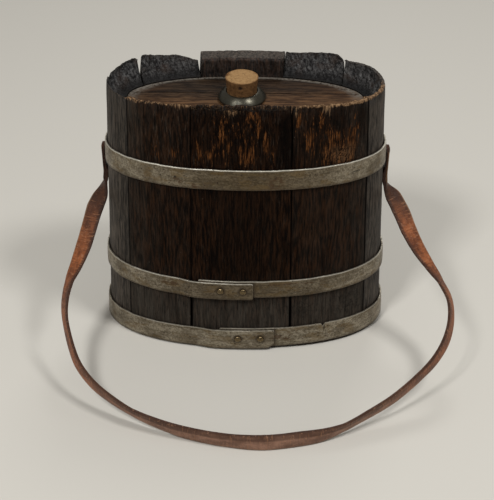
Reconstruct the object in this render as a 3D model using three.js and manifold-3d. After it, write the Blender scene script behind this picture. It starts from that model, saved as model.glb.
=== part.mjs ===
// Oval wooden canteen, built as a cooper builds a small keg: eight staves grooved for two oval heads,
// three lapped and riveted iron hoops, a metal neck collar with a cork, and a leather carrying strap
// that swings on two rivets through the ends of the top hoop.
// Millimetres, +Z up, the front towards -Y, the origin under the middle of the base.
import * as THREE from 'three';
import { mergeVertices } from 'three/addons/utils/BufferGeometryUtils.js';
import Module from 'manifold-3d';

const wasm = await Module();
wasm.setup();

// Body: the outside of the staves, an oval that narrows from the base to the rim
const baseWidth = 216;
const baseDepth = 104.6;
const rimWidth = 199;
const rimDepth = 96.4;
const bodyHeight = 204.5;
const ovalFullness = 2.17; // 2 is an ellipse, more is a fuller oval
const ovalStep = 5; // degrees between the corners of an oval

// Staves
const staveThickness = 15;
const staveGap = 0.5; // open joint between two staves
const rimEdge = 2.5; // what the bevel inside the rim leaves of a stave's top
const rimLand = 2; // upright wood between the upper groove and that bevel
const footWidth = 8; // flat end that a stave stands on
const footLand = 3; // upright wood between the lower groove and the foot's bevel
const grooveDepth = 4.5;
const slantDrop = 7; // how far the worn corner of the rear left stave falls away
const slantReach = 20; // degrees over which it does so

// Heads: boards with a tongue all round that sits in the grooves
const headThickness = 12;
const tongueThickness = 5;
const headShoulder = 2; // step from the tongue up to the open face of a head
const headChamfer = 1.5; // bevel round the open face
const topHeadDepth = 14.5; // rim to the face of the top head
const bottomHeadHeight = 12; // floor to the face of the bottom head
const headClearance = 0.3;

// Hoops
const hoopThickness = 1.4;
const hoopClearance = 0.3;
const lapGap = 0.3; // between the two layers of a lap
const lapRamp = 10; // degrees over which a hoop climbs on to its own end
const topHoopBottom = 141.4;
const topHoopWidth = 16.5;
const middleHoopBottom = 51.1;
const middleHoopWidth = 15.1;
const bottomHoopBottom = 2.2;
const bottomHoopWidth = 16.6;
const lapLength = 40;
const rivetPitch = 18; // between the two rivets of a lap
const middleRivetPitch = 16;
const rivetShift = 2.5; // from the middle of a lap towards its outer end
const middleRivetShift = 4.3;
const rivetHeadRadius = 3.2;
const rivetHeadHeight = 1.6;
const rivetShankRadius = 1.75;
const rivetClearance = 0.3; // round a shank
const rivetSeat = 0.3; // under a rivet's head

// Neck and cork
const neckOffset = -2.6; // the neck stands a little left of the middle
const corkTopRadius = 12;
const corkBottomRadius = 9.4;
const corkLength = 29;
const corkProud = 10.9; // cork standing above the collar
const corkChamfer = 0.6;
const corkClearance = 0.3;
const collarRadius = 17.2;
const collarHeight = 5.8;
const collarRim = 1.2; // height of the collar's upright foot edge
const collarLip = 1.5; // wall of the collar round the cork
const spigotWall = 2; // wall of the spout that goes down through the head
const collarSeat = 0.3;

// Strap
const strapWidth = 12.7;
const strapThickness = 1.8;
const strapClearance = 0.3;
const pivotY = 4;
const pivotRise = 4.1; // from the lower edge of the top hoop up to the strap's rivets
const strapEnd = 3.6; // strap beyond its rivet
const strapRivetRadius = 3.4;
const strapRivetHeight = 0.6;
const strapSteps = 76;
const strapLean = 41; // degrees that the strap leans back where it lies at the front

// Colours and surfaces
const darkOak = { color: 0x2e221b, roughness: 0.75, metalness: 0 };
const endOak = { color: 0x2c2c2d, roughness: 0.8, metalness: 0 };
const charredOak = { color: 0x26221f, roughness: 0.85, metalness: 0 };
const headWood = { color: 0x5d4732, roughness: 0.7, metalness: 0 };
const hoopIron = { color: 0x8b8474, roughness: 0.5, metalness: 0.85 };
const rivetIron = { color: 0x9a9484, roughness: 0.4, metalness: 0.9 };
const collarMetal = { color: 0x4a4f48, roughness: 0.3, metalness: 0.9 };
const corkSkin = { color: 0xb58d57, roughness: 0.9, metalness: 0 };
const strapLeather = { color: 0x6e3d24, roughness: 0.6, metalness: 0 };

const canteen = new THREE.Group();
canteen.name = 'wooden_canteen';

function addPiece(name, geometry, finish, parent = canteen) {
  const mesh = new THREE.Mesh(geometry, new THREE.MeshStandardMaterial(finish));
  mesh.name = name;
  parent.add(mesh);
  return mesh;
}

function radians(degrees) {
  return THREE.MathUtils.degToRad(degrees);
}

// Half width and half depth of the body at a height.
function halfWidthAt(z) {
  return THREE.MathUtils.lerp(baseWidth, rimWidth, z / bodyHeight) / 2;
}

function halfDepthAt(z) {
  return THREE.MathUtils.lerp(baseDepth, rimDepth, z / bodyHeight) / 2;
}

function signedPower(value, power) {
  return Math.sign(value) * Math.pow(Math.abs(value), power);
}

// A point on the body's oval at a height, moved straight inwards by inset (outwards if negative).
// The angle runs from +X through the rear, so the front is at 270 degrees.
function ovalPoint(degrees, z, inset) {
  const halfWidth = halfWidthAt(z);
  const halfDepth = halfDepthAt(z);
  const across = signedPower(Math.cos(radians(degrees)), 2 / ovalFullness);
  const along = signedPower(Math.sin(radians(degrees)), 2 / ovalFullness);
  const outward = new THREE.Vector2(
    signedPower(across, ovalFullness - 1) / halfWidth,
    signedPower(along, ovalFullness - 1) / halfDepth,
  ).normalize();
  return new THREE.Vector3(
    halfWidth * across - inset * outward.x,
    halfDepth * along - inset * outward.y,
    z,
  );
}

// Degrees that a short length takes up along the oval at the base.
function degreesAlong(length, degrees) {
  const probe = 0.5;
  const before = ovalPoint(degrees - probe, 0, 0);
  const after = ovalPoint(degrees + probe, 0, 0);
  return (length * 2 * probe) / before.distanceTo(after);
}

// The angles from start to end: both ends and every whole step between them.
function anglesBetween(start, end) {
  const angles = [start];
  const margin = ovalStep / 4;
  for (let a = Math.ceil((start + margin) / ovalStep) * ovalStep; a < end - margin; a += ovalStep) {
    angles.push(a);
  }
  angles.push(end);
  return angles;
}

// Triangles between rings of points that each have as many points as the others.
function joinRings(indices, ringCount, ringSize) {
  for (let i = 0; i < ringCount - 1; i += 1) {
    const here = i * ringSize;
    const next = here + ringSize;
    for (let j = 0; j < ringSize; j += 1) {
      const k = (j + 1) % ringSize;
      indices.push(here + j, next + k, next + j, here + j, here + k, next + k);
    }
  }
}

function geometryFrom(points, indices) {
  const geometry = new THREE.BufferGeometry().setFromPoints(points);
  geometry.setIndex(indices);
  return geometry;
}

// A solid swept along the oval: outlineAt(angle) gives its section as [inset, z] corners,
// counter-clockwise with the inset to the right. Its two ends are flat.
function sweepAlongOval(angles, outlineAt) {
  const points = [];
  const indices = [];
  let size = 0;
  for (const angle of angles) {
    const outline = outlineAt(angle);
    size = outline.length;
    for (const [inset, z] of outline) points.push(ovalPoint(angle, z, inset));
  }
  joinRings(indices, angles.length, size);
  const lastRing = (angles.length - 1) * size;
  const firstOutline = outlineAt(angles[0]).map(([inset, z]) => new THREE.Vector2(inset, z));
  const lastOutline = outlineAt(angles.at(-1)).map(([inset, z]) => new THREE.Vector2(inset, z));
  for (const [a, b, c] of THREE.ShapeUtils.triangulateShape(firstOutline, [])) indices.push(a, c, b);
  for (const [a, b, c] of THREE.ShapeUtils.triangulateShape(lastOutline, [])) {
    indices.push(lastRing + a, lastRing + b, lastRing + c);
  }
  return geometryFrom(points, indices);
}

// A solid board in the shape of the oval: its edge is a list of [inset, z] corners from the
// lower face to the upper one, and both faces are flat.
function ovalBoard(edge) {
  const angles = [];
  for (let a = 0; a < 360; a += ovalStep) angles.push(a);
  const points = [];
  const indices = [];
  for (const [inset, z] of edge) {
    for (const angle of angles) points.push(ovalPoint(angle, z, inset));
  }
  const size = angles.length;
  for (let i = 0; i < edge.length - 1; i += 1) {
    for (let j = 0; j < size; j += 1) {
      const k = (j + 1) % size;
      const here = i * size;
      const above = here + size;
      indices.push(here + j, here + k, above + k, here + j, above + k, above + j);
    }
  }
  const top = (edge.length - 1) * size;
  const lower = points.length;
  const upper = lower + 1;
  points.push(new THREE.Vector3(0, 0, edge[0][1]), new THREE.Vector3(0, 0, edge.at(-1)[1]));
  for (let j = 0; j < size; j += 1) {
    const k = (j + 1) % size;
    indices.push(lower, k, j, upper, top + j, top + k);
  }
  return geometryFrom(points, indices);
}

// Booleans.
function solidOf(geometry) {
  const plain = geometry.clone();
  plain.deleteAttribute('normal');
  plain.deleteAttribute('uv');
  const merged = mergeVertices(plain, 1e-4);
  return new wasm.Manifold(
    new wasm.Mesh({
      numProp: 3,
      vertProperties: new Float32Array(merged.attributes.position.array),
      triVerts: new Uint32Array(merged.index.array),
    }),
  );
}

function cutAway(geometry, cutters) {
  let solid = solidOf(geometry);
  for (const cutter of cutters) solid = solid.subtract(solidOf(cutter));
  const mesh = solid.getMesh();
  const cut = new THREE.BufferGeometry();
  cut.setAttribute('position', new THREE.BufferAttribute(mesh.vertProperties, 3));
  cut.setIndex(new THREE.BufferAttribute(mesh.triVerts, 1));
  return cut;
}

// A turned piece: its profile is a list of [radius, height] corners, and it stands on +Z.
function turned(profile, sides) {
  const points = profile.map(([radius, height]) => new THREE.Vector2(radius, height));
  return new THREE.LatheGeometry(points, sides).rotateX(Math.PI / 2);
}

// Levels of the two heads and their grooves
const topHeadFace = bodyHeight - topHeadDepth;
const topTongueTop = topHeadFace - headShoulder;
const topTongueBottom = topTongueTop - tongueThickness;
const bottomHeadFace = bottomHeadHeight;
const bottomTongueBottom = bottomHeadFace + headShoulder;
const bottomTongueTop = bottomTongueBottom + tongueThickness;
const grooveInset = staveThickness - grooveDepth;

// Section of a stave, from the outside of its foot up and back down the inside.
function staveOutline(topHeight, topThickness) {
  const bevelled = topThickness < staveThickness;
  const rim = [[0, 0], [0, topHeight], [topThickness, topHeight]];
  if (bevelled) rim.push([staveThickness, topTongueTop + headClearance + rimLand]);
  return [
    ...rim,
    [staveThickness, topTongueTop + headClearance],
    [grooveInset, topTongueTop + headClearance],
    [grooveInset, topTongueBottom - headClearance],
    [staveThickness, topTongueBottom - headClearance],
    [staveThickness, bottomTongueTop + headClearance],
    [grooveInset, bottomTongueTop + headClearance],
    [grooveInset, bottomTongueBottom - headClearance],
    [staveThickness, bottomTongueBottom - headClearance],
    [staveThickness, bottomTongueBottom - headClearance - footLand],
    [footWidth, 0],
  ].reverse();
}

// The eight staves, by the angles of their joints. One rear stave keeps its square top, and the
// next one has a corner worn down beside it.
const staves = [
  { name: 'rear_right_stave', from: 45, to: 75, finish: charredOak },
  { name: 'rear_middle_stave', from: 75, to: 109, finish: charredOak, squareTop: true },
  { name: 'rear_left_stave', from: 109, to: 141, finish: charredOak, slant: true },
  { name: 'left_end_stave', from: 141, to: 216, finish: endOak },
  { name: 'front_left_stave', from: 216, to: 250, finish: darkOak },
  { name: 'front_middle_stave', from: 250, to: 287.5, finish: darkOak },
  { name: 'front_right_stave', from: 287.5, to: 328.5, finish: darkOak },
  { name: 'right_end_stave', from: 328.5, to: 405, finish: endOak },
];
for (const stave of staves) {
  const start = stave.from + degreesAlong(staveGap / 2, stave.from);
  const end = stave.to - degreesAlong(staveGap / 2, stave.to);
  const topThickness = stave.squareTop ? staveThickness : rimEdge;
  const topAt = (angle) => {
    const whole = THREE.MathUtils.smoothstep(angle, start, start + slantReach);
    return stave.slant ? bodyHeight - slantDrop * (1 - whole) : bodyHeight;
  };
  const outlineAt = (angle) => staveOutline(topAt(angle), topThickness);
  addPiece(stave.name, sweepAlongOval(anglesBetween(start, end), outlineAt), stave.finish);
}

// Cork and neck: the cork tapers, and the collar's bore takes the same taper
const collarTop = topHeadFace + collarSeat + collarHeight;
const corkTop = collarTop + corkProud;
const corkBottom = corkTop - corkLength;

function corkRadiusAt(z) {
  return THREE.MathUtils.mapLinear(z, corkBottom, corkTop, corkBottomRadius, corkTopRadius);
}

const spigotBottom = topHeadFace - headThickness;
const spigotRadius = corkRadiusAt(topHeadFace) + corkClearance + spigotWall;
const collarTopRadius = corkRadiusAt(collarTop) + corkClearance + collarLip;

// Heads
const faceInset = staveThickness + headClearance;
const tongueInset = grooveInset + headClearance;
const topHeadBoard = ovalBoard([
  [faceInset, topHeadFace - headThickness],
  [faceInset, topTongueBottom],
  [tongueInset, topTongueBottom],
  [tongueInset, topTongueTop],
  [faceInset, topTongueTop],
  [faceInset + headChamfer, topHeadFace],
]);
const neckHole = new THREE.CylinderGeometry(
  spigotRadius + headClearance,
  spigotRadius + headClearance,
  headThickness * 2,
  32,
);
neckHole.rotateX(Math.PI / 2).translate(neckOffset, 0, topHeadFace - headThickness / 2);
addPiece('top_head', cutAway(topHeadBoard, [neckHole]), headWood);

const bottomHeadBoard = ovalBoard([
  [faceInset + headChamfer, bottomHeadFace],
  [faceInset, bottomTongueBottom],
  [tongueInset, bottomTongueBottom],
  [tongueInset, bottomTongueTop],
  [faceInset, bottomTongueTop],
  [faceInset, bottomHeadFace + headThickness],
]);
addPiece('bottom_head', bottomHeadBoard, headWood);

// Collar: a domed flange on the head with a spout down through it
const collarProfile = [
  [corkRadiusAt(spigotBottom) + corkClearance, spigotBottom],
  [spigotRadius, spigotBottom],
  [spigotRadius, topHeadFace + collarSeat],
  [collarRadius, topHeadFace + collarSeat],
];
const domeSteps = 6;
for (let i = 0; i <= domeSteps; i += 1) {
  const turn = (Math.PI / 2) * (i / domeSteps);
  collarProfile.push([
    collarTopRadius + (collarRadius - collarTopRadius) * Math.cos(turn),
    topHeadFace + collarSeat + collarRim + (collarHeight - collarRim) * Math.sin(turn),
  ]);
}
collarProfile.push([corkRadiusAt(collarTop) + corkClearance, collarTop], collarProfile[0]);
const neck = new THREE.Group();
neck.position.x = neckOffset;
canteen.add(neck);
addPiece('neck_collar', turned(collarProfile, 32), collarMetal, neck);

const corkProfile = [
  [0, corkBottom],
  [corkBottomRadius - corkChamfer, corkBottom],
  [corkRadiusAt(corkBottom + corkChamfer), corkBottom + corkChamfer],
  [corkRadiusAt(corkTop - corkChamfer), corkTop - corkChamfer],
  [corkTopRadius - corkChamfer, corkTop],
  [0, corkTop],
];
addPiece('cork', turned(corkProfile, 32), corkSkin, neck);

// Strap rivets: through the top hoop at both ends of the oval, on one line that the strap swings on
const pivotZ = topHoopBottom + pivotRise;
const hoopOuter = hoopClearance + hoopThickness;
const strapFaceX = halfWidthAt(topHoopBottom) + hoopOuter + strapClearance;
const strapX = strapFaceX + strapThickness / 2;
const strapRivetInner = halfWidthAt(pivotZ) + hoopClearance;
const strapRivetSeat = strapFaceX + strapThickness + rivetSeat;

// A hole across a hoop or the strap for a shank that lies along a direction.
function shankHole(centre, direction) {
  const radius = rivetShankRadius + rivetClearance;
  const reach = 4 * (hoopThickness + strapThickness);
  const hole = new THREE.CylinderGeometry(radius, radius, reach, 12);
  const turn = new THREE.Quaternion().setFromUnitVectors(new THREE.Vector3(0, 1, 0), direction);
  return hole.applyQuaternion(turn).translate(centre.x, centre.y, centre.z);
}

// A rivet on +Z, its head's underside at zero and its shank below.
function rivetGeometry(headRadius, headHeight, shankLength) {
  const profile = [[0, -shankLength], [rivetShankRadius, -shankLength], [rivetShankRadius, 0]];
  const domePoints = 4;
  for (let i = 0; i < domePoints; i += 1) {
    const turn = (Math.PI / 2) * (i / domePoints);
    profile.push([headRadius * Math.cos(turn), headHeight * Math.sin(turn)]);
  }
  profile.push([0, headHeight]);
  return turned(profile, 16);
}

function placeRivet(name, geometry, seat, outward) {
  const rivet = addPiece(name, geometry, rivetIron);
  rivet.quaternion.setFromUnitVectors(new THREE.Vector3(0, 0, 1), outward);
  rivet.position.copy(seat);
}

// Hoops: each is one band whose end laps over its own start. They sit a little out of level, as
// they were driven on: frontRise and rightRise lift the front and the right of a hoop.
const hoops = [
  {
    name: 'top_hoop',
    bottom: topHoopBottom,
    width: topHoopWidth,
    frontRise: 1.5,
    rightRise: 0.5,
    lapCentre: 89.5,
    pitch: rivetPitch,
    shift: rivetShift,
    carriesStrap: true,
  },
  {
    name: 'middle_hoop',
    bottom: middleHoopBottom,
    width: middleHoopWidth,
    frontRise: -2.5,
    rightRise: 0.5,
    lapCentre: 263.8,
    pitch: middleRivetPitch,
    shift: middleRivetShift,
  },
  {
    name: 'bottom_hoop',
    bottom: bottomHoopBottom,
    width: bottomHoopWidth,
    frontRise: 1,
    rightRise: 1,
    lapCentre: 270.9,
    pitch: rivetPitch,
    shift: rivetShift,
  },
];

function hoopLift(hoop, degrees) {
  return hoop.rightRise * Math.cos(radians(degrees)) - hoop.frontRise * Math.sin(radians(degrees));
}

for (const hoop of hoops) {
  const lapFrom = hoop.lapCentre - degreesAlong(lapLength / 2, hoop.lapCentre);
  const lapTo = hoop.lapCentre + degreesAlong(lapLength / 2, hoop.lapCentre);
  const turnEnd = lapFrom + 360;
  const lapOffset = hoopThickness + lapGap;
  const outlineAt = (angle) => {
    const climb = THREE.MathUtils.smoothstep(angle, turnEnd - lapRamp, turnEnd - ovalStep / 4);
    const inner = -hoopClearance - climb * lapOffset;
    const lower = hoop.bottom + hoopLift(hoop, angle);
    const upper = lower + hoop.width;
    return [
      [inner, lower],
      [inner, upper],
      [inner - hoopThickness, upper],
      [inner - hoopThickness, lower],
    ];
  };
  const band = sweepAlongOval(anglesBetween(lapFrom, lapTo + 360), outlineAt);
  const holes = [];
  const lapLayers = hoopClearance + hoopThickness + lapOffset;
  const shankLength = hoopThickness + lapOffset + rivetSeat;
  [hoop.shift - hoop.pitch / 2, hoop.shift + hoop.pitch / 2].forEach((place, i) => {
    const angle = hoop.lapCentre + degreesAlong(place, hoop.lapCentre);
    const level = hoop.bottom + hoopLift(hoop, angle) + hoop.width / 2;
    const seat = ovalPoint(angle, level, -lapLayers - rivetSeat);
    const outward = seat.clone().sub(ovalPoint(angle, level, 0)).normalize();
    holes.push(shankHole(ovalPoint(angle, level, -lapLayers / 2), outward));
    const rivet = rivetGeometry(rivetHeadRadius, rivetHeadHeight, shankLength);
    placeRivet(hoop.name + '_rivet_' + (i + 1), rivet, seat, outward);
  });
  if (hoop.carriesStrap) {
    for (const side of [-1, 1]) {
      const centre = new THREE.Vector3(side * strapRivetInner, pivotY, pivotZ);
      holes.push(shankHole(centre, new THREE.Vector3(side, 0, 0)));
    }
  }
  addPiece(hoop.name, cutAway(band, holes), hoopIron);
}
for (const [name, side] of [['left_strap_rivet', -1], ['right_strap_rivet', 1]]) {
  const seat = new THREE.Vector3(side * strapRivetSeat, pivotY, pivotZ);
  const rivet = rivetGeometry(strapRivetRadius, strapRivetHeight, strapRivetSeat - strapRivetInner);
  placeRivet(name, rivet, seat, new THREE.Vector3(side, 0, 0));
}

// Strap: hangs down beside the hoop from its rivets, twists to face forward, turns out at the sides
// and stands on its edge on the floor in front. Each point of the route is x, y, z and the turn of
// the strap's face: 0 faces forward and up, 90 straight out, away from the middle of the body.
const strapRoute = [
  [-109.2, -6.6, 109, 35],
  [-112.5, -13.5, 103.1, 8],
  [-116.1, -25, 93.4, 18],
  [-119.5, -36.3, 84.2, 25],
  [-124, -47.6, 75.1, 49],
  [-128.9, -59, 66.3, 73],
  [-131, -71, 57.2, 80],
  [-129.5, -83.2, 48.4, 89],
  [-120.2, -106.7, 32.3, 93],
  [-112.1, -117.1, 25.8, 98],
  [-101.8, -126, 20.5, 103],
  [-78.2, -140, 13.1, 112],
  [-52.1, -150.2, 8.6, 106],
  [-38.6, -154.1, 7.2, 100],
  [-11.1, -160.4, 6.8, 95],
  [16.8, -162.3, 6.8, 81],
  [44.4, -157.6, 6.8, 83],
  [58.3, -154.2, 7.2, 99],
  [71.6, -149.2, 9, 111],
  [84.1, -142.6, 11.8, 111],
  [108.6, -128.7, 19, 103],
  [130.5, -111.8, 29.1, 97],
  [140.3, -102.2, 35.3, 90],
  [147.9, -91, 42.9, 83],
  [151.8, -78.7, 51.6, 82],
  [151.3, -66.4, 60.7, 82],
  [145.3, -55.6, 68.9, 82],
  [137.2, -45.6, 76.7, 67],
  [129.4, -35.6, 84.7, 45],
  [122.8, -25, 93.4, 20],
  [117.4, -14.2, 102.4, 4],
  [111.3, -4.5, 110.6, 22],
];
const hangingEnd = [
  [strapX, pivotY, pivotZ + strapEnd, 90],
  [strapX, pivotY, pivotZ - 10, 90],
  [strapX + 0.4, pivotY - 0.3, pivotZ - 20, 88],
  [strapX + 1.8, pivotY - 2.5, pivotZ - 28, 72],
];
const leftEnd = hangingEnd.map(([x, y, z, turn]) => [-x, y, z, turn]);
const strapPoints = [...leftEnd, ...strapRoute, ...hangingEnd.toReversed()];
const strapCurve = new THREE.CatmullRomCurve3(
  strapPoints.map(([x, y, z]) => new THREE.Vector3(x, y, z)),
  false,
  'centripetal',
);
const forwardAndUp = new THREE.Vector3(0, -Math.cos(radians(strapLean)), Math.sin(radians(strapLean)));

function strapGeometry() {
  const points = [];
  const indices = [];
  const last = strapPoints.length - 1;
  for (let i = 0; i <= strapSteps; i += 1) {
    const u = strapCurve.getUtoTmapping(i / strapSteps);
    const centre = strapCurve.getPoint(u);
    const tangent = strapCurve.getTangent(u);
    const place = Math.min(u * last, last - 1e-9);
    const before = Math.floor(place);
    const turn = THREE.MathUtils.lerp(strapPoints[before][3], strapPoints[before + 1][3], place - before);
    const outward = new THREE.Vector3(centre.x, centre.y - pivotY, 0).normalize();
    const face = forwardAndUp.clone().multiplyScalar(Math.cos(radians(turn)));
    face.addScaledVector(outward, Math.sin(radians(turn)));
    face.addScaledVector(tangent, -face.dot(tangent)).normalize();
    const across = new THREE.Vector3().crossVectors(tangent, face);
    for (const [a, f] of [[-1, -1], [-1, 1], [1, 1], [1, -1]]) {
      points.push(
        centre.clone()
          .addScaledVector(across, (a * strapWidth) / 2)
          .addScaledVector(face, (f * strapThickness) / 2),
      );
    }
  }
  joinRings(indices, strapSteps + 1, 4);
  const end = strapSteps * 4;
  indices.push(0, 2, 1, 0, 3, 2, end, end + 1, end + 2, end, end + 2, end + 3);
  return geometryFrom(points, indices);
}

const strapHoles = [-1, 1].map((side) =>
  shankHole(new THREE.Vector3(side * strapX, pivotY, pivotZ), new THREE.Vector3(side, 0, 0)),
);
addPiece('carry_strap', cutAway(strapGeometry(), strapHoles), strapLeather);

export default canteen;
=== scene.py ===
# An old oval canteen coopered like a small keg: oak staves and heads, iron hoops, a pewter neck with
# its cork, and a leather strap. Metres, +Z up, the front towards -Y, the base standing on z = 0.
import math

import bmesh
import bpy
import numpy as np
from mathutils import Euler, Matrix, Vector, noise


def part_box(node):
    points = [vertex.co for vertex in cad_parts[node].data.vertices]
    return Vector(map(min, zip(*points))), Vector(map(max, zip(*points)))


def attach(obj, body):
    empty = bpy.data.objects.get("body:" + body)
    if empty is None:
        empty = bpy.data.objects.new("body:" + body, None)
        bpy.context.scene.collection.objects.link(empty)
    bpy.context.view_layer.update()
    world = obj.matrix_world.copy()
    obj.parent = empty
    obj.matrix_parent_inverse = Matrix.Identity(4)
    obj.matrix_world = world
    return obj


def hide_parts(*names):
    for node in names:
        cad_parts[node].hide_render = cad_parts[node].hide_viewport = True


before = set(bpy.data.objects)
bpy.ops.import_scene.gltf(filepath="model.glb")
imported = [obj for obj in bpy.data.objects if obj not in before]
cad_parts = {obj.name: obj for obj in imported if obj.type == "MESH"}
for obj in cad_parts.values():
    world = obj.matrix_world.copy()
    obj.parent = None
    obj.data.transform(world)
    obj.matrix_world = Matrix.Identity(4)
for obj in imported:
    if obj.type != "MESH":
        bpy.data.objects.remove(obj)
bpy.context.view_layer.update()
scene = bpy.context.scene

# Camera
# It stands in front of the canteen and well above it, and looks down on its top. Its lens is worked
# out from the focal length in pixels and the height of the picture.
picture_height = 500
focal_pixels = 1198.9
camera_place = Vector((0.0136, -0.7643, 0.5987))
camera_pitch = 0.6175
camera_yaw = 0.0158
camera_roll = 0.0043
lens = bpy.data.cameras.new("camera")
lens.sensor_width = 36
lens.lens = focal_pixels * lens.sensor_width / picture_height
camera = bpy.data.objects.new("camera", lens)
aim = Euler((math.pi / 2 - camera_pitch, 0, camera_yaw)).to_matrix() @ Matrix.Rotation(camera_roll, 3, "Z")
camera.matrix_world = Matrix.Translation(camera_place) @ aim.to_4x4()
scene.collection.objects.link(camera)
scene.camera = camera

# Staves
# Eight boards of old oak, shaved to one tapering oval and blackened by use, smoke and wax. They are
# grooved inside for the heads, hacked to a hollow bevel at the rim, and held only by the hoops.
oval_fullness = 2.17
stave_thickness = 0.015
stave_gap = 0.0002
rim_edge = 0.0025
rim_crown = 0.0003
bevel_foot = 0.1903
bevel_hollow = 1.35
groove_depth = 0.0045
lower_groove = (0.0137, 0.0193)
upper_groove = (0.1827, 0.1883)
foot_width = 0.008
foot_bevel_top = 0.0107
arris_width = 0.0009
arris_depth = 0.0003


def node_points(name):
    """Corners of a CAD node."""
    return np.array([v.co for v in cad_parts[name].data.vertices])


stave_points = np.concatenate([node_points(name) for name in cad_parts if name.endswith("_stave")])
body_height = stave_points[:, 2].max()
foot_points = np.abs(stave_points[stave_points[:, 2] < 0.0001])
rim_points = np.abs(stave_points[stave_points[:, 2] > body_height - 0.0001])
base_width, base_depth = 2 * foot_points[:, :2].max(axis=0)
rim_width, rim_depth = 2 * rim_points[:, :2].max(axis=0)
# Spacing of the mesh: rows in metres, columns in degrees, and columns close to the joints in metres
row_step = 0.0016
rim_row_step = 0.0009
column_step = 0.8
column_margin = 1.5
joint_columns = (0, 0.00025, 0.0006, 0.0011)
rim_steps = 7
foot_steps = 2
# Rounding of the edges: how deep and how far
outer_round = (0.0006, 0.0014)
inner_round = (0.0002, 0.0012)
square_round = (0.0014, 0.0022)
foot_round = (0.0006, 0.0012)
# Joints that stand open, by angle: heights, and how wide they are there
joint_openings = {
    45: ((0.199, body_height), (0.0001, 0.0010)),
    109: ((0.184, body_height), (0, 0.0018)),
    141: ((0.188, body_height), (0, 0.0030)),
    250: ((0.046, 0.056), (0.0011, 0)),
    287.5: ((0.046, 0.056, 0.158, 0.172), (0.0011, 0.0001, 0.0001, 0.0007)),
    328.5: ((0, body_height), (0.0002, 0.0006)),
}
# How far two joints swing aside, in degrees, between the rim and the foot of the bevel, and the height
# under the groove over which they swing back
joint_skews = {45: -3.9, 141: 4.2}
skew_reach = 0.006
# How far the rim of the front staves stands above the level of the rest: angles and heights
front_rise = (
    (216, 235, 250, 262, 275, 287.5, 305, 322),
    (0, 0.0013, 0.0024, 0.0031, 0.0034, 0.0027, 0.0014, 0),
)
front_lean = 0.9
front_joints = (216, 328.5)
# Heights between which the front leans out, the bleaching changes, and the tops of the ends darken
lean_levels = (0.180, 0.206)
bleach_levels = (0.035, 0.075)
dim_levels = (0.150, 0.185)


class Nodes:
    """Adds nodes to one tree. Every value may be a number, a colour of three numbers, or a socket."""

    def __init__(self, tree):
        self.tree = tree

    def fill(self, sockets, values):
        """Links or sets sockets by their names or numbers."""
        for key, value in values.items():
            if isinstance(value, bpy.types.NodeSocket):
                self.tree.links.new(value, sockets[key])
            elif sockets[key].type == "RGBA":
                sockets[key].default_value = (*value, 1)
            else:
                sockets[key].default_value = value

    def add(self, kind, inputs=None, **settings):
        """Adds a node, sets it up and gives its outputs."""
        made = self.tree.nodes.new(kind)
        for key, value in settings.items():
            setattr(made, key, value)
        self.fill(made.inputs, inputs or {})
        return made.outputs

    def calc(self, operation, *values):
        return self.add("ShaderNodeMath", dict(enumerate(values)), operation=operation)[0]

    def times(self, value, *others):
        for other in others:
            value = self.calc("MULTIPLY", value, other)
        return value

    def total(self, base, *terms):
        """A value with others added to it, each by its weight."""
        for value, weight in terms:
            base = self.calc("MULTIPLY_ADD", value, weight, base)
        return base

    def vector(self, operation, *values):
        slots = (0, 3) if operation == "SCALE" else (0, 1)
        return self.add("ShaderNodeVectorMath", dict(zip(slots, values)), operation=operation)[0]

    def join(self, x, y, z=0):
        return self.add("ShaderNodeCombineXYZ", {0: x, 1: y, 2: z})[0]

    def cloud(self, vector, scale, seed, detail=3, roughness=0.55, stretch=None):
        """A soft random value over the surface, about 0.5 on the whole. A small stretch draws it out."""
        if stretch:
            vector = self.vector("MULTIPLY", vector, stretch)
        inputs = {"Vector": vector, "W": seed, "Scale": scale, "Detail": detail, "Roughness": roughness}
        return self.add("ShaderNodeTexNoise", inputs, noise_dimensions="4D")[0]

    def named(self, name, kind="FLOAT"):
        """What the corners of a shape store under a name, in a Geometry Nodes tree."""
        return self.add("GeometryNodeInputNamedAttribute", {"Name": name}, data_type=kind)[0]

    def span(self, value, low, high):
        """0 up to low, 1 from high on, and an easy slope between them."""
        inputs = {"Value": value, "From Min": low, "From Max": high}
        return self.add("ShaderNodeMapRange", inputs, interpolation_type="SMOOTHSTEP")[0]


def new_group(name, kind, inputs, outputs):
    """A node group with named sockets: gives its nodes and both of its inner ends."""
    group = bpy.data.node_groups.new(name, kind)
    for side, sockets in (("INPUT", inputs), ("OUTPUT", outputs)):
        for label, socket in sockets.items():
            group.interface.new_socket(label, in_out=side, socket_type="NodeSocket" + socket)
    return Nodes(group), group.nodes.new("NodeGroupInput").outputs, group.nodes.new("NodeGroupOutput").inputs


def new_tree(name, inputs):
    """A Geometry Nodes tree that takes a shape, some inputs and a material, and gives a shape."""
    shape = {"Geometry": "Geometry"}
    return new_group(name, "GeometryNodeTree", {**shape, **inputs, "Material": "Material"}, shape)


def end_tree(nodes, shape, wear, given, result):
    """Ends a tree: takes the wear off the shape along its normals, and gives it its material."""
    normal = nodes.add("GeometryNodeInputNormal")[0]
    offset = nodes.vector("SCALE", normal, nodes.times(wear, -1))
    worn = nodes.add("GeometryNodeSetPosition", {"Geometry": shape, "Offset": offset})[0]
    whole = nodes.add("GeometryNodeRealizeInstances", {"Geometry": worn})[0]
    inputs = {"Geometry": whole, "Material": given["Material"]}
    nodes.fill(result, {"Geometry": nodes.add("GeometryNodeSetMaterial", inputs)[0]})


def add_piece(name, mesh):
    piece = bpy.data.objects.new(name, mesh)
    scene.collection.objects.link(piece)
    return piece


def add_mesh(name, points, faces):
    mesh = bpy.data.meshes.new(name)
    mesh.from_pydata(np.asarray(points).reshape(-1, 3).tolist(), [], faces)
    return add_piece(name, mesh)


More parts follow.
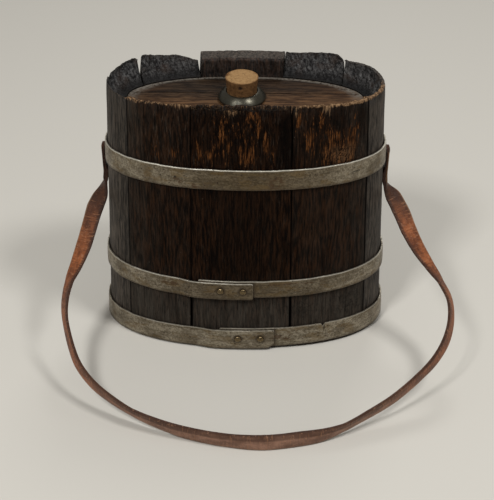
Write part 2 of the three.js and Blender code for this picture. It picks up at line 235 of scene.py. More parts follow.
def paint(piece, layers):
    """Stores numbers or vectors for the corners of a piece, for its tree and its material to read."""
    for name, values in layers.items():
        values = np.asarray(values, np.float32).reshape(len(piece.data.vertices), -1)
        kind, slot = ("FLOAT", "value") if values.shape[1] == 1 else ("FLOAT_VECTOR", "vector")
        piece.data.attributes.new(name, kind, "POINT").data.foreach_set(slot, values.ravel())


def smooth(mesh, sharp=40):
    mesh.shade_smooth()
    mesh.set_sharp_from_angle(angle=math.radians(sharp))


def run_tree(piece, nodes, values, sharp=40):
    """Runs a Geometry Nodes tree on a piece, its inputs set by identifier, and keeps what it makes."""
    modifier = piece.modifiers.new("shape", "NODES")
    modifier.node_group = nodes.tree
    for item in nodes.tree.interface.items_tree:
        if item.in_out == "INPUT" and item.name in values:
            modifier[item.identifier] = values[item.name]
    mesh = bpy.data.meshes.new_from_object(piece.evaluated_get(bpy.context.evaluated_depsgraph_get()))
    piece.modifiers.clear()
    piece.data = mesh
    mesh.name = piece.name
    smooth(mesh, sharp)


def belongs(piece, body, slot, *nodes):
    """Ties a finished piece to its body and hides the CAD nodes that it stands for; its material slot is not
    used.
    """
    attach(piece, body)
    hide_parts(*nodes)


def ring_faces(columns, size, closed=False):
    """Faces between closed rings of size points. If closed, the last ring joins the first."""
    faces = []
    for column in range(columns if closed else columns - 1):
        here = column * size
        after = (column + 1) % columns * size
        for i in range(size):
            k = (i + 1) % size
            faces.append((here + i, after + i, after + k, here + k))
    return faces


# The tree that bends a flat piece, drawn as angle, depth and height, round the body's oval. It then
# wears the surface down by noise, only inwards, where the piece's "open" value lets it.
bend_sizes = {
    "Base Width": base_width,
    "Base Depth": base_depth,
    "Rim Width": rim_width,
    "Rim Depth": rim_depth,
    "Height": body_height,
    "Fullness": oval_fullness,
}
stave_wear = {
    "Dent Depth": 0.0005,
    "Dent Size": 0.022,
    "Grain Depth": 0.00035,
    "Grain Size": 0.0045,
    "Hack Depth": 0.0016,
    "Hack Size": 0.0048,
}
bend_inputs = dict.fromkeys([*bend_sizes, *stave_wear, "Seed"], "Float")
bend, given, result = new_tree("bend_round_oval", bend_inputs)
place = bend.add("GeometryNodeInputPosition")[0]
angle, depth, height = bend.add("ShaderNodeSeparateXYZ", {0: place})
share = bend.calc("DIVIDE", height, given["Height"])


def half_size(side):
    at_base = given["Base " + side]
    taper = bend.calc("SUBTRACT", given["Rim " + side], at_base)
    return bend.times(bend.total(at_base, (taper, share)), 0.5)


def signed_power(value, power):
    size = bend.calc("POWER", bend.calc("ABSOLUTE", value), power)
    return bend.times(size, bend.calc("SIGN", value))


half_width = half_size("Width")
half_depth = half_size("Depth")
roundness = bend.calc("DIVIDE", 2, given["Fullness"])
across = signed_power(bend.calc("COSINE", angle), roundness)
along = signed_power(bend.calc("SINE", angle), roundness)
flatter = bend.calc("SUBTRACT", given["Fullness"], 1)
slope_x = bend.calc("DIVIDE", signed_power(across, flatter), half_width)
slope_y = bend.calc("DIVIDE", signed_power(along, flatter), half_depth)
outward = bend.vector("NORMALIZE", bend.join(slope_x, slope_y))
inward = bend.vector("SCALE", outward, bend.times(depth, -1))
on_oval = bend.join(bend.times(half_width, across), bend.times(half_depth, along), height)
bent_place = bend.vector("ADD", on_oval, inward)
bent = bend.add("GeometryNodeSetPosition", {"Geometry": given["Geometry"], "Position": bent_place})[0]


def scale_for(size):
    return bend.calc("DIVIDE", 1, given[size])


dents = bend.cloud(place, scale_for("Dent Size"), given["Seed"], 2)
grain = bend.cloud(place, scale_for("Grain Size"), given["Seed"], stretch=(1, 1, 0.06))
hack_inputs = {"Vector": place, "Scale": scale_for("Hack Size")}
hacks = bend.add("ShaderNodeTexVoronoi", hack_inputs, feature="SMOOTH_F1")["Distance"]
wear = bend.times(bend.calc("SUBTRACT", 1, hacks), given["Hack Depth"], bend.named("char"))
wear = bend.total(wear, (dents, given["Dent Depth"]), (grain, given["Grain Depth"]))
end_tree(bend, bent, bend.times(wear, bend.named("open")), given, result)


def bend_piece(name, points, faces, values, wear, seed, finish):
    """A piece drawn flat, with the values that it stores, bent round the oval."""
    piece = add_mesh(name, points, faces)
    paint(piece, values)
    run_tree(piece, bend, {**bend_sizes, **wear, "Seed": float(seed), "Material": finish})
    return piece


def noise_group(name, noises):
    """A shader group of noises: scale, detail, roughness, stretch, and the limits that each is cut to."""
    sockets = {"Vector": "Vector", "Seed": "Float"}
    group, given, result = new_group(name, "ShaderNodeTree", sockets, dict.fromkeys(noises, "Float"))
    for label, (scale, detail, roughness, stretch, limits) in noises.items():
        value = group.cloud(given["Vector"], scale, given["Seed"], detail, roughness, stretch)
        group.fill(result, {label: group.span(value, *limits) if limits else value})
    return group.tree


# Grain of oak for staves and heads, along Z of the vector: fibres, streaks, figure, pores and cracks
oak_grain = noise_group("oak_grain", {
    "Fibre": (800, 4, 0.6, (1, 1, 0.095), None),
    "Streak": (240, 4, 0.7, (1, 1, 0.16), None),
    "Figure": (60, 3, 0.55, (1, 1, 0.1), None),
    "Fleck": (1000, 4, 0.66, (1, 1, 0.12), None),
    "Pores": (1300, 2, 0.55, (1, 1, 0.09), (0.6, 0.72)),
    "Checks": (480, 3, 0.6, (1, 1, 0.035), (0.57, 0.66)),
})


class Finish(Nodes):
    """A material while it is made. Coats of colour are laid on it, one over the other. Its patterns lie
    on Object coordinates, or on the places that the piece stores under a name."""

    def __init__(self, name, lay=None):
        self.material = bpy.data.materials.new(name)
        self.material.use_nodes = True
        super().__init__(self.material.node_tree)
        self.shader = self.tree.nodes["Principled BSDF"].inputs
        if lay:
            self.where = self.add("ShaderNodeAttribute", attribute_name=lay)["Vector"]
        else:
            self.where = self.add("ShaderNodeTexCoord")["Object"]

    def stored(self, name):
        """The value that the piece stores under a name."""
        return self.add("ShaderNodeAttribute", attribute_name=name)["Fac"]

    def effect(self, group, seed, vector=None):
        inputs = {"Vector": vector or self.where, "Seed": seed}
        return self.add("ShaderNodeGroup", inputs, node_tree=group)

    def spots(self, low, high, scale, seed, detail=3, roughness=0.55, stretch=None):
        return self.span(self.cloud(self.where, scale, seed, detail, roughness, stretch), low, high)

    def mix(self, share, first, second, blend_type="MIX"):
        inputs = {0: share, 6: first, 7: second}
        return self.add("ShaderNodeMix", inputs, data_type="RGBA", blend_type=blend_type)[2]

    def shades(self, value, low, high, dark, light):
        return self.mix(self.span(value, low, high), dark, light)

    def over(self, under, mask, strength, colour):
        return self.mix(self.times(mask, strength), under, colour)

    def coat(self, mask, strength, colour):
        self.colour = self.over(self.colour, mask, strength, colour)

    def close(self, roughness, relief, distance, strength, metallic=0, gloss=0.5):
        """Feeds the shader and gives the material."""
        bump = {"Height": relief, "Distance": distance, "Strength": strength}
        normal = self.add("ShaderNodeBump", bump)[0]
        values = {"Base Color": self.colour, "Roughness": roughness, "Metallic": metallic}
        self.fill(self.shader, {**values, "Specular IOR Level": gloss, "Normal": normal})
        return self.material


wax_black = (0.0016, 0.0008, 0.0005)
hack_slant = 0.5


def stave_finish(name, seed, dark, brown, bleached, contrast, gloss):
    """Old oak, near black where wax and smoke lie on it. A stave's stored values say where it is bleached
    (grey), thick with wax (black), worn to orange wood, crazed, charred, sooty and darkened by painted shade
    at the foot of the bevel, or bare and splintered."""
    oak = Finish(name)
    grain = oak.effect(oak_grain, seed)
    grey, worn, crazed, char, bare = map(oak.stored, ("grey", "worn", "crazed", "char", "bare"))
    soft = oak.total(0, (grain["Fibre"], 0.88), (grain["Figure"], 0.12))
    oak.colour = oak.shades(soft, 0.40, 0.63, dark, brown)
    dusty = oak.shades(soft, 0.38, 0.62, [(1 - contrast) * part for part in bleached], bleached)
    patchy = oak.span(oak.total(0, (grain["Figure"], 0.4), (grain["Streak"], 0.6)), 0.3, 0.62)
    oak.coat(grey, oak.calc("MAXIMUM", patchy, oak.times(grey, 0.75)), dusty)
    oak.coat(grain["Checks"], contrast, dark)
    level = oak.add("ShaderNodeSeparateXYZ", {0: oak.where})[2]
    raised = oak.spots(0.555, 0.66, 900, seed + 11, 3, 0.6, (1, 1, 0.1))
    oak.coat(raised, oak.total(0.16, (oak.span(level, 0.150, 0.168), 0.42)), (0.056, 0.040, 0.029))
    oak.coat(oak.stored("black"), 0.95, wax_black)

    reach = oak.total(grain["Fleck"], (worn, 0.225))
    worn_through = oak.times(oak.span(reach, 0.66, 0.74), oak.span(worn, 0.03, 0.2))
    bright = oak.cloud(oak.where, 300, seed + 6, 4, 0.7, (1, 1, 0.16))
    bright = oak.total(0, (bright, 0.45), (grain["Fibre"], 0.55))
    orange = oak.shades(bright, 0.41, 0.61, (0.006, 0.0019, 0.0007), (0.142, 0.053, 0.0155))
    oak.coat(worn_through, 1, oak.over(orange, crazed, 0.45, (0.118, 0.068, 0.036)))
    crazing = oak.calc("SUBTRACT", oak.cloud(oak.where, 190, seed + 12, 3, 0.6), 0.5)
    crazing = oak.times(oak.span(oak.calc("ABSOLUTE", crazing), 0.030, 0.012), crazed)
    oak.coat(crazing, 0.95, wax_black)

    slant = {"Vector": oak.where, "Angle": hack_slant}
    turned = oak.add("ShaderNodeVectorRotate", slant, rotation_type="Y_AXIS")[0]
    cuts = oak.cloud(turned, 560, seed + 8, 3, 0.6, (1, 0.25, 0.25))
    ridges = oak.total(0, (oak.cloud(oak.where, 560, seed + 3, 5, 0.7), 0.62), (cuts, 0.38))
    burnt = oak.shades(ridges, 0.42, 0.64, (0.0046, 0.0047, 0.0050), (0.104, 0.101, 0.098))
    burnt = oak.over(burnt, oak.spots(0.5, 0.68, 90, seed + 4), 0.6, (0.030, 0.018, 0.012))
    burnt = oak.over(burnt, oak.spots(0.64, 0.72, 800, seed + 5, 2), 0.7, (0.16, 0.16, 0.16))
    oak.coat(char, 1, burnt)
    # Soot and painted shade: the inside darkens towards the foot of the bevel, where it meets the head
    oak.coat(oak.stored("soot_and_shade"), 0.85, (0.0035, 0.0033, 0.0032))

    splinters = oak.shades(grain["Fibre"], 0.35, 0.65, (0.048, 0.024, 0.011), (0.290, 0.178, 0.096))
    flecked = oak.span(oak.total(grain["Fleck"], (bare, 0.36)), 0.60, 0.76)
    oak.coat(flecked, oak.span(bare, 0.02, 0.3), splinters)
    oak.coat(grain["Pores"], 0.6, (0.002, 0.001, 0.001))
    oak.coat(oak.spots(0.735, 0.77, 600, seed + 9, 2, 0.55, (1, 1, 0.5)), 0.5, (0.14, 0.115, 0.085))
    roughness = oak.total(0.42, (grain["Fibre"], 0.3), (grey, 0.1), (char, 0.15))
    relief = oak.total(grain["Fibre"], (grain["Pores"], -0.7), (worn_through, -0.35))
    relief = oak.total(relief, (grain["Checks"], -0.7), (crazing, -0.9), (oak.times(ridges, char), 2.6))
    return oak.close(roughness, relief, 0.0007, 0.9, gloss=gloss)


front_oak = [(0.0022, 0.0008, 0.0003), (0.026, 0.0102, 0.0038), (0.060, 0.052, 0.0425)]
end_oak = [(0.006, 0.0046, 0.0036), (0.046, 0.036, 0.027), (0.160, 0.134, 0.109)]
rear_oak = [(0.005, 0.003, 0.002), (0.054, 0.028, 0.017), (0.110, 0.094, 0.078)]
# Finish and material slot of each kind of stave
oak_kinds = {
    "front": (stave_finish("old_oak", 1.3, *front_oak, 0.35, 0.035), "stave_wood"),
    "end": (stave_finish("greyed_oak", 4.1, *end_oak, 0.65, 0.14), "end_stave_wood"),
    "rear": (stave_finish("blackened_oak", 7.7, *rear_oak, 0.6, 0.16), "charred_wood"),
}

# Places where the front's black surface is worn through to orange wood: angle, height, half width in
# degrees, half height and strength
worn_patches = [
    (224, 0.166, 5, 0.007, 0.55),
    (234, 0.168, 5, 0.010, 0.65),
    (243, 0.170, 4, 0.012, 0.7),
    (254, 0.169, 4, 0.013, 0.85),
    (263, 0.182, 6, 0.030, 0.62),
    (271.5, 0.184, 6, 0.032, 0.62),
    (279, 0.172, 4, 0.018, 0.55),
    (262.3, 0.187, 1.7, 0.015, 1.3),
    (258, 0.170, 2.5, 0.009, 1.05),
    (264.8, 0.176, 1.6, 0.014, 1.1),
    (271, 0.171, 4.0, 0.011, 1.05),
    (274.8, 0.195, 1.1, 0.013, 1.2),
    (277.7, 0.180, 1.5, 0.012, 1.3),
    (272, 0.200, 2.4, 0.007, 1.2),
    (290, 0.196, 1.6, 0.010, 1.1),
    (295, 0.180, 3.5, 0.016, 1.0),
    (300.5, 0.195, 2.0, 0.010, 1.15),
    (307, 0.174, 9, 0.018, 1.12),
    (318, 0.177, 6, 0.017, 1.12),
    (311, 0.165, 10, 0.0100, 1.5),
    (317, 0.171, 5, 0.0120, 1.45),
]
# Places where splinters are torn from the rim and show pale wood, in the same terms
torn_patches = [
    (266, 0.2090, 4.5, 0.0085, 0.75),
    (289, 0.2070, 0.9, 0.0110, 0.75),
    (303, 0.2050, 3.0, 0.0070, 0.7),
    (248, 0.2070, 6.0, 0.0040, 0.7),
]
# Places where wax and soot lie thickest, in the same terms
black_patches = [
    (252, 0.190, 4, 0.020, 0.6),
    (266, 0.182, 1.5, 0.024, 0.8),
    (277, 0.186, 2, 0.022, 0.8),
    (285, 0.183, 4.5, 0.026, 1.0),
    (298, 0.195, 3, 0.012, 0.7),
    (307, 0.197, 6, 0.012, 0.7),
    (323, 0.194, 5, 0.018, 0.8),
    (269, 0.104, 13, 0.055, 0.5),
    (268, 0.186, 17, 0.026, 0.75),
    (304, 0.184, 14, 0.026, 0.7),
    (259, 0.150, 6, 0.020, 0.5),
]
# Places where the old varnish is crazed, in the same terms
crazed_patches = [
    (312, 0.165, 10, 0.0085, 1.0),
    (262, 0.160, 24, 0.0035, 0.8),
    (318, 0.034, 12, 0.012, 0.5),
    (292, 0.036, 9, 0.010, 0.35),
]


def ease(value, low, high):
    """A smooth step from 0 at low to 1 at high, on arrays."""
    t = np.clip((value - low) / (high - low), 0, 1)
    return t * t * (3 - 2 * t)


def edge_round(distance, depth, reach):
    """How far a rounded edge falls away, at a distance from it."""
    return depth * np.clip(1 - distance / reach, 0, 1) ** 2


def oval_place(turn, level, inset):
    """Point on the body's oval at a height, moved in by inset."""
    rise = level / body_height
    a = (base_width + (rim_width - base_width) * rise) / 2
    b = (base_depth + (rim_depth - base_depth) * rise) / 2
    x = math.copysign(abs(math.cos(turn)) ** (2 / oval_fullness), math.cos(turn))
    y = math.copysign(abs(math.sin(turn)) ** (2 / oval_fullness), math.sin(turn))
    slope_x = math.copysign(abs(x) ** (oval_fullness - 1), x) / a
    slope_y = math.copysign(abs(y) ** (oval_fullness - 1), y) / b
    length = math.hypot(slope_x, slope_y)
    return Vector((a * x - inset * slope_x / length, b * y - inset * slope_y / length, level))


def per_degree(degrees):
    """Length of one degree along the oval."""
    before, after = (oval_place(math.radians(degrees + aside), body_height / 2, 0) for aside in (-2, 2))
    return (after - before).length / 4


def column_angles(start, end, near, margin, step):
    """Angles of a piece's columns: at a few lengths from both ends, and evenly in between."""
    near = np.array(near)
    middle = np.arange(start + margin, end - margin, step)
    return np.concatenate([start + near / per_degree(start), middle, (end - near / per_degree(end))[::-1]])


def ripple(place, seed):
    """A smooth random value from about -1 to 1."""
    return noise.noise(Vector((place, seed, 0.37)))


def stave_top(degrees, corners, ragged):
    """Height of a stave's rim at an angle: level, with worn corners, chips and a ragged edge."""
    top = body_height + np.interp(degrees, *front_rise)
    for corner, drop, reach in corners:
        near = 1 - min(abs(degrees - corner) / reach, 1)
        top -= drop * near * near * (1 if drop > 0 else 3 - 2 * near)
    chips = max(0, ripple(degrees * 0.40, 3.1) + 0.6 * ripple(degrees * 1.0, 8.3) - 0.05)
    return top - ragged * (1.8 * chips + 0.4 * abs(ripple(degrees * 1.6, 5.9)))


def stave_levels():
    """Heights of the rows of a stave, with both edges of its grooves."""
    fine = 0.0001
    levels = [0, 0.0005, foot_bevel_top, *np.arange(0.0012, bevel_foot - 0.003, row_step)]
    levels += list(np.linspace(bevel_foot, body_height, round((body_height - bevel_foot) / rim_row_step)))
    for edge in (*lower_groove, *upper_groove):
        levels += [edge - fine, edge + fine]
    return np.array(sorted(levels))


def inner_depth(levels, edge, square):
    """Depth of a stave's inside at each height: foot bevel, grooves, and the hollow bevel at the rim."""
    depth = np.full(len(levels), stave_thickness)
    foot = levels < foot_bevel_top
    depth[foot] = foot_width + (stave_thickness - foot_width) * levels[foot] / foot_bevel_top
    for low, high in (lower_groove, upper_groove):
        depth[(low < levels) & (levels < high)] = stave_thickness - groove_depth
    if not square:
        bevel = levels > bevel_foot
        fall = (body_height - levels[bevel]) / (body_height - bevel_foot)
        depth[bevel] = edge + (stave_thickness - edge) * fall ** bevel_hollow
    return depth


def joint_opening(joint, levels):
    """Half the gap at a joint, in degrees, at each height."""
    known = joint_openings.get(joint % 360, ((0, 1), (0, 0)))
    return (stave_gap + np.interp(levels, *known)) / 2 / per_degree(joint)


def in_patches(patches, degrees, levels, sharpness):
    """Strength of the strongest patch at an angle, at each of many heights."""
    strongest = np.zeros(len(levels))
    for where, level, half, tall, strength in patches:
        aside = math.exp(-((degrees - where) / half) ** 2)
        strongest = np.maximum(strongest, strength * aside * np.exp(-((levels - level) / tall) ** sharpness))
    return strongest


def make_stave(
    name, wood, joints, grey, char=0.3, top_char=0.1, top_grey=None, bare=((0, 1), (0, 0)), corners=(),
    ragged=0.0004, broad=0, square=False, dim_top=0,
):
    """Draws a stave flat in columns from joint to joint, stores how it is worn, and bends it round."""
    start, end = joints
    levels = stave_levels()
    rows = len(levels)
    size = 2 * rows + rim_steps + foot_steps
    over_rim = np.arange(1, rim_steps + 1) / (rim_steps + 1)
    under_foot = np.arange(1, foot_steps + 1) / (foot_steps + 1)
    first = start + joint_opening(start, levels)
    last = end - joint_opening(end, levels)
    shares = (column_angles(start, end, joint_columns, column_margin, column_step) - start) / (end - start)
    points = []
    values = {label: [] for label in ("open", "char", "bare", "grey", "worn", "black", "crazed", "soot_and_shade")}

    def ring(outside, rim, inside, foot):
        """One column's values, once round: up the outside, over the rim, down the inside, and the foot."""
        inside = np.broadcast_to(inside, rows)[::-1]
        counts = (rows, rim_steps, rows, foot_steps)
        parts = zip((outside, rim, inside, foot), counts)
        return np.concatenate([np.broadcast_to(part, count) for part, count in parts])

    for share in shares:
        degrees = start + share * (end - start)
        turns = first + share * (last - first)
        from_joint = min(degrees - start, end - degrees) * per_degree(degrees)
        top = stave_top(degrees, corners, ragged)
        stretched = (levels - bevel_foot) * (top - bevel_foot) / (body_height - bevel_foot)
        rise = np.where(levels > bevel_foot, bevel_foot + stretched, levels)
        below = top - rise
        outer = edge_round(from_joint, arris_depth, arris_width) + edge_round(below, *outer_round)
        outer += front_lean * np.interp(degrees, *front_rise) * ease(rise, *lean_levels)
        outer += foot_round[0] * np.clip(1 - rise / foot_round[1], 0, 1)
        edge = rim_edge + broad * (0.55 + 0.45 * ripple(degrees * 0.4, 2.2))
        inner = inner_depth(levels, edge, square)
        if square:
            inner -= edge_round(below, *square_round) * (1 + 0.7 * ripple(degrees * 0.5, 7.7))
        else:
            inner -= edge_round(below, *inner_round)
        skew = joint_skews.get(start % 360, 0) * (1 - share) + joint_skews.get(end % 360, 0) * share
        swing = skew * ease(levels, upper_groove[0] - skew_reach, upper_groove[0])
        swung = turns + swing * inner / stave_thickness
        rim_depths = outer[-1] + (inner[-1] - outer[-1]) * over_rim
        foot_depths = inner[0] + (outer[0] - inner[0]) * under_foot
        crown = top + rim_crown * np.sin(np.pi * over_rim) - 0.0001
        points.append(np.column_stack([
            np.radians(ring(turns, turns[-1], swung, turns[0])),
            ring(outer, rim_depths, inner, foot_depths),
            ring(rise, crown, rise, 0),
        ]))

        above = ease(rise, bevel_foot - 0.001, bevel_foot + 0.0015)
        clear = 0.15 + 0.85 * ease(from_joint, 0.0003, 0.003)
        values["open"].append(ring(clear * ease(rise, 0, 0.006), clear, clear * above, 0))
        scorch = 0.55 * char * ease(rise, top - 0.010, top) * (0.5 + 0.5 * ripple(degrees * 0.6, 4.4))
        charred = char * above * (0.75 + 0.25 * ease(below, 0, 0.004))
        values["char"].append(ring(scorch, top_char, charred, 0))
        fresh = np.interp(degrees, *bare)
        torn = fresh * ease(rise, top - 0.0022 - 0.002 * abs(ripple(degrees * 1.3, 6.1)), top)
        torn = np.maximum(torn, in_patches(torn_patches, degrees, rise, 2))
        values["bare"].append(ring(torn, fresh, fresh * ease(rise, top - 0.005, top - 0.001), 0))
        bleach = grey[0] + (grey[1] - grey[0]) * ease(rise, *bleach_levels)
        if wood == "front":
            from_end = min(degrees - front_joints[0], front_joints[1] - degrees)
            bleach = np.minimum(bleach + 0.7 * math.exp(-from_end / 7), 1)
        if wood == "end":
            bleach *= (1 - 0.55 * math.exp(-from_joint / 0.007)) * (0.8 + 0.35 * ripple(degrees * 0.16, 1.7))
            bleach *= 1 - dim_top * ease(rise, *dim_levels)
        values["grey"].append(ring(bleach, top_grey or grey[1], 0.3 * bleach, grey[0]))
        values["worn"].append(ring(in_patches(worn_patches, degrees, rise, 2), 0, 0, 0))
        values["crazed"].append(ring(in_patches(crazed_patches, degrees, rise, 4), 0, 0, 0))
        in_joint = 0.9 * math.exp(-(from_joint / 0.0006) ** 2)
        black = np.maximum(in_patches(black_patches, degrees, rise, 4), in_joint)
        values["black"].append(ring(black, 0, 0, 0))
        # Soot and painted shade, darkest at the foot of the bevel and fading up it
        soot_and_shade = 1 - ease(rise, bevel_foot + 0.001, bevel_foot + 0.008 + 0.002 * ripple(degrees * 0.3, 9.1))
        values["soot_and_shade"].append(ring(0, 0, soot_and_shade * (0.5 if square else 1), 0))

    faces = ring_faces(len(shares), size)
    for here, flip in ((0, 1), ((len(shares) - 1) * size, -1)):
        inside = [here + 2 * rows + rim_steps - 1 - i for i in range(rows)]
        for i in range(rows - 1):
            faces.append((here + i, here + i + 1, inside[i + 1], inside[i])[::flip])
        faces.append((here + rows - 1, *range(here + rows, here + rows + rim_steps), inside[-1])[::flip])
        faces.append((inside[0], *range(here + size - foot_steps, here + size), here)[::flip])
    finish, slot = oak_kinds[wood]
    piece = bend_piece(name.replace("_stave", "_board"), points, faces, values, stave_wear, start, finish)
    belongs(piece, "body", slot, name)


# The staves in order round the body. Corners are angle, drop and reach of each place worn low or left high.
staves = {
    "rear_right_stave": dict(
        wood="rear", joints=(45, 75), grey=(0.5, 0.3), char=0.95, top_char=0.7,
        corners=[(52, -0.0034, 22), (45, 0.0036, 3.6), (45, 0.0008, 9), (75, 0.0020, 0.6)],
    ),
    "rear_middle_stave": dict(
        wood="rear", joints=(75, 109), grey=(0.5, 0.3), char=0.2, top_grey=0.9, square=True,
        corners=[(75, 0.0003, 1.0), (109, 0.0008, 2)],
    ),
    "rear_left_stave": dict(
        wood="rear", joints=(109, 141), grey=(0.5, 0.3), char=0.9, top_char=0.7,
        corners=[(109, 0.0076, 18), (141, -0.0032, 17), (141, 0.0016, 2.5)],
    ),
    "left_end_stave": dict(
        wood="end", joints=(141, 216), grey=(0.8, 0.65), char=0.95, top_char=0.8, dim_top=0.45,
        bare=((195, 214), (0, 0.35)), corners=[(141, -0.0028, 26), (141, 0.0030, 3), (173, 0.0026, 3)],
    ),
    "front_left_stave": dict(
        wood="front", joints=(216, 250), grey=(0.85, 0.12), bare=((216, 250), (0.6, 0.45)),
        ragged=0.0012, broad=0.0026,
    ),
    "front_middle_stave": dict(
        wood="front", joints=(250, 287.5), grey=(0.85, 0.05), top_char=0.15,
        bare=((250, 258, 287), (0.4, 0.22, 0.25)), ragged=0.0014,
    ),
    "front_right_stave": dict(
        wood="front", joints=(287.5, 328.5), grey=(0.85, 0.12), bare=((288, 300), (0.6, 1)),
        ragged=0.0012, broad=0.0034,
    ),
    "right_end_stave": dict(
        wood="end", joints=(328.5, 405), grey=(0.75, 0.6), char=0.85, top_char=0.4, dim_top=0.15,
        bare=((348, 366), (1, 0)), ragged=0.0007, broad=0.0024,
        corners=[(405, 0.0006, 1.5), (386, -0.0014, 20)],
    ),
}
for stave_name, stave in staves.items():
    make_stave(stave_name, **stave)

# Heads
# Two oval oak heads let into the grooves of the staves, each two boards joined edge to edge with the
# grain from end to end of the oval. The top one shows, dusty at its far edge, and the neck goes through it.
head_thickness = 0.012
head_clearance = 0.0003
head_chamfer = 0.0015
head_shoulder = 0.002
head_edge_drop = 0.0005
tongue_thickness = 0.005
top_head_face = 0.190
bottom_head_face = 0.012
board_joint = 0.0075
board_joint_half = 0.00025
board_joint_depth = 0.0008
grain_relief = 0.00022
warp_relief = 0.00035
# Dust at the rear edge: its width in the middle, how much wider it gets at the ends, and how it wavers
dust_width = 0.0020
dust_more = 0.0022
dust_ends = (0.050, 0.082)
dust_waver = 0.0008
head_columns = 240
face_steps = 26
back_steps = 3
neck_low, neck_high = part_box("neck_collar")
neck_x = (neck_low.x + neck_high.x) / 2
neck_hole = 0.0131


def join_rings(points, size):
    """A shape closed both ways from rings of points, whose corners in one place are joined."""
    shape = bmesh.new()
    corners = [shape.verts.new(point) for point in points]
    for face in ring_faces(len(points) // size, size, closed=True):
        shape.faces.new([corners[i] for i in face])
    bmesh.ops.remove_doubles(shape, verts=shape.verts, dist=1e-6)
    bmesh.ops.dissolve_degenerate(shape, edges=shape.edges, dist=1e-7)
    bmesh.ops.recalc_face_normals(shape, faces=shape.faces)
    return shape


def add_shape(name, shape, material, sharp=40):
    mesh = bpy.data.meshes.new(name)
    shape.to_mesh(mesh)
    shape.free()
    smooth(mesh, sharp)
    mesh.materials.append(material)
    return add_piece(name, mesh)


head = Finish("head_oak")
x, y, z = head.add("ShaderNodeSeparateXYZ", {0: head.where})
grain = head.effect(oak_grain, 11, head.join(y, z, x))
lines = head.span(head.total(0, (grain["Fibre"], 0.65), (grain["Streak"], 0.35)), 0.425, 0.595)
front_board = head.mix(lines, (0.036, 0.015, 0.0050), (0.142, 0.072, 0.031))
rear_board = head.mix(lines, (0.0062, 0.0035, 0.0020), (0.0385, 0.024, 0.0138))
stain = head.spots(0.42, 0.62, 60, 12, 4, 0.55, (0.35, 1, 1))
rearward = head.total(y, (stain, -0.012), (head.calc("MAXIMUM", x, 0), -0.13))
head.colour = head.mix(head.span(rearward, -0.020, 0.014), front_board, rear_board)
head.coat(stain, 0.45, (0.018, 0.010, 0.006))
head.coat(head.stored("dust"), head.spots(0.28, 0.60, 500, 13), (0.128, 0.113, 0.094))
head.coat(grain["Pores"], 0.7, (0.006, 0.003, 0.002))
head_roughness = head.total(0.42, (grain["Fibre"], 0.3))
head_relief = head.total(grain["Fibre"], (grain["Pores"], -0.6))
head_finish = head.close(head_roughness, head_relief, 0.0005, 0.8, gloss=0.1)


def make_head(name, cad_name, face, sign, hole, seed):
    """A head whose open face looks up or down. The edge has a tongue, and a bevel round the open face."""
    inset = stave_thickness + head_clearance
    tongue = stave_thickness - groove_depth + head_clearance
    back = face - sign * head_thickness
    near = face - sign * head_shoulder
    far = near - sign * tongue_thickness
    edge = [(inset, face - sign * head_edge_drop), (inset, near), (tongue, near)]
    edge += [(tongue, far), (inset, far), (inset, back)]
    points = []
    for turn in 2 * math.pi * np.arange(head_columns) / head_columns:
        middle = Vector((neck_x + hole * math.cos(turn), hole * math.sin(turn), face))
        rim = oval_place(turn, face, inset + head_chamfer)
        points += [middle.lerp(rim, i / face_steps) for i in range(face_steps + 1)]
        points += [oval_place(turn, level, depth) for depth, level in edge]
        middle.z = back
        points += [points[-1].lerp(middle, i / back_steps) for i in range(1, back_steps + 1)]
    shape = join_rings(points, face_steps + 1 + len(edge) + back_steps)
    for offset in (-2.4, -1, 1, 2.4):
        everything = [*shape.verts, *shape.edges, *shape.faces]
        cut = (0, board_joint + offset * board_joint_half, 0)
        bmesh.ops.bisect_plane(shape, geom=everything, plane_co=cut, plane_no=(0, 1, 0))
    half_width = oval_place(0, face, inset + head_chamfer).x
    half_depth = oval_place(math.pi / 2, face, inset + head_chamfer).y
    dust = []
    for corner in shape.verts:
        x, y, z = corner.co
        share = (abs(x) / half_width) ** oval_fullness + (abs(y) / half_depth) ** oval_fullness
        from_edge = (1 - share ** (1 / oval_fullness)) * half_depth
        width = dust_width + dust_more * ease(abs(x), *dust_ends) + dust_waver * ripple(x * 160, seed)
        dust.append((1 - ease(from_edge, 0.0002, width)) * ease(y, -0.012, 0.012) * (sign > 0))
        if abs(z - face) < 1e-6:
            grain_wave = noise.noise(Vector((x * 14, y * 190, seed)))
            warp = noise.noise(Vector((x * 22, y * 30, seed + 4)))
            corner.co.z -= sign * (grain_relief * (1 + grain_wave) + warp_relief * (1 + warp))
            if abs(y - board_joint) < board_joint_half * 1.2:
                corner.co.z -= sign * board_joint_depth
    piece = add_shape(name, shape, head_finish)
    paint(piece, {"dust": dust})
    belongs(piece, "body", "head_wood", cad_name)


make_head("upper_head_board", "top_head", top_head_face, 1, neck_hole, 2.5)
make_head("lower_head_board", "bottom_head", bottom_head_face, -1, 0, 6.5)

# Hoops
# Three bands of tinned sheet iron, each bent round the body with its end lapped over its start and
# riveted there. They are driven down the taper of the body until they grip, and so sit a little askew.
hoop_thickness = 0.0014
hoop_clearance = 0.0003
hoop_spiral = 0.0005
hoop_unevenness = 0.00022
hoop_swell = 0.00018
hoop_round = (0.00035, 0.0006)
hoop_corner = 0.0008
lap_length = 0.040
lap_offset = 0.0017
lap_ramp = (10, 1.25)
lowest_edge = 0.0002
# Distances over which the upper edge's painted highlight and wear, and the lower edge's and rivets' grime
# and painted shade, end
edge_highlight_and_wear_reach = (0.0003, 0.0010)
edge_grime_and_shade = (0.0004, 0.0030)
rivet_grime_and_shade = (0.0032, 0.0047)
lap_shadow = 0.0020
# Angle and reach of the painted dark reflection on the front of the hoops, in degrees
dark_reflection_middle = 274
dark_reflection_reach = 36
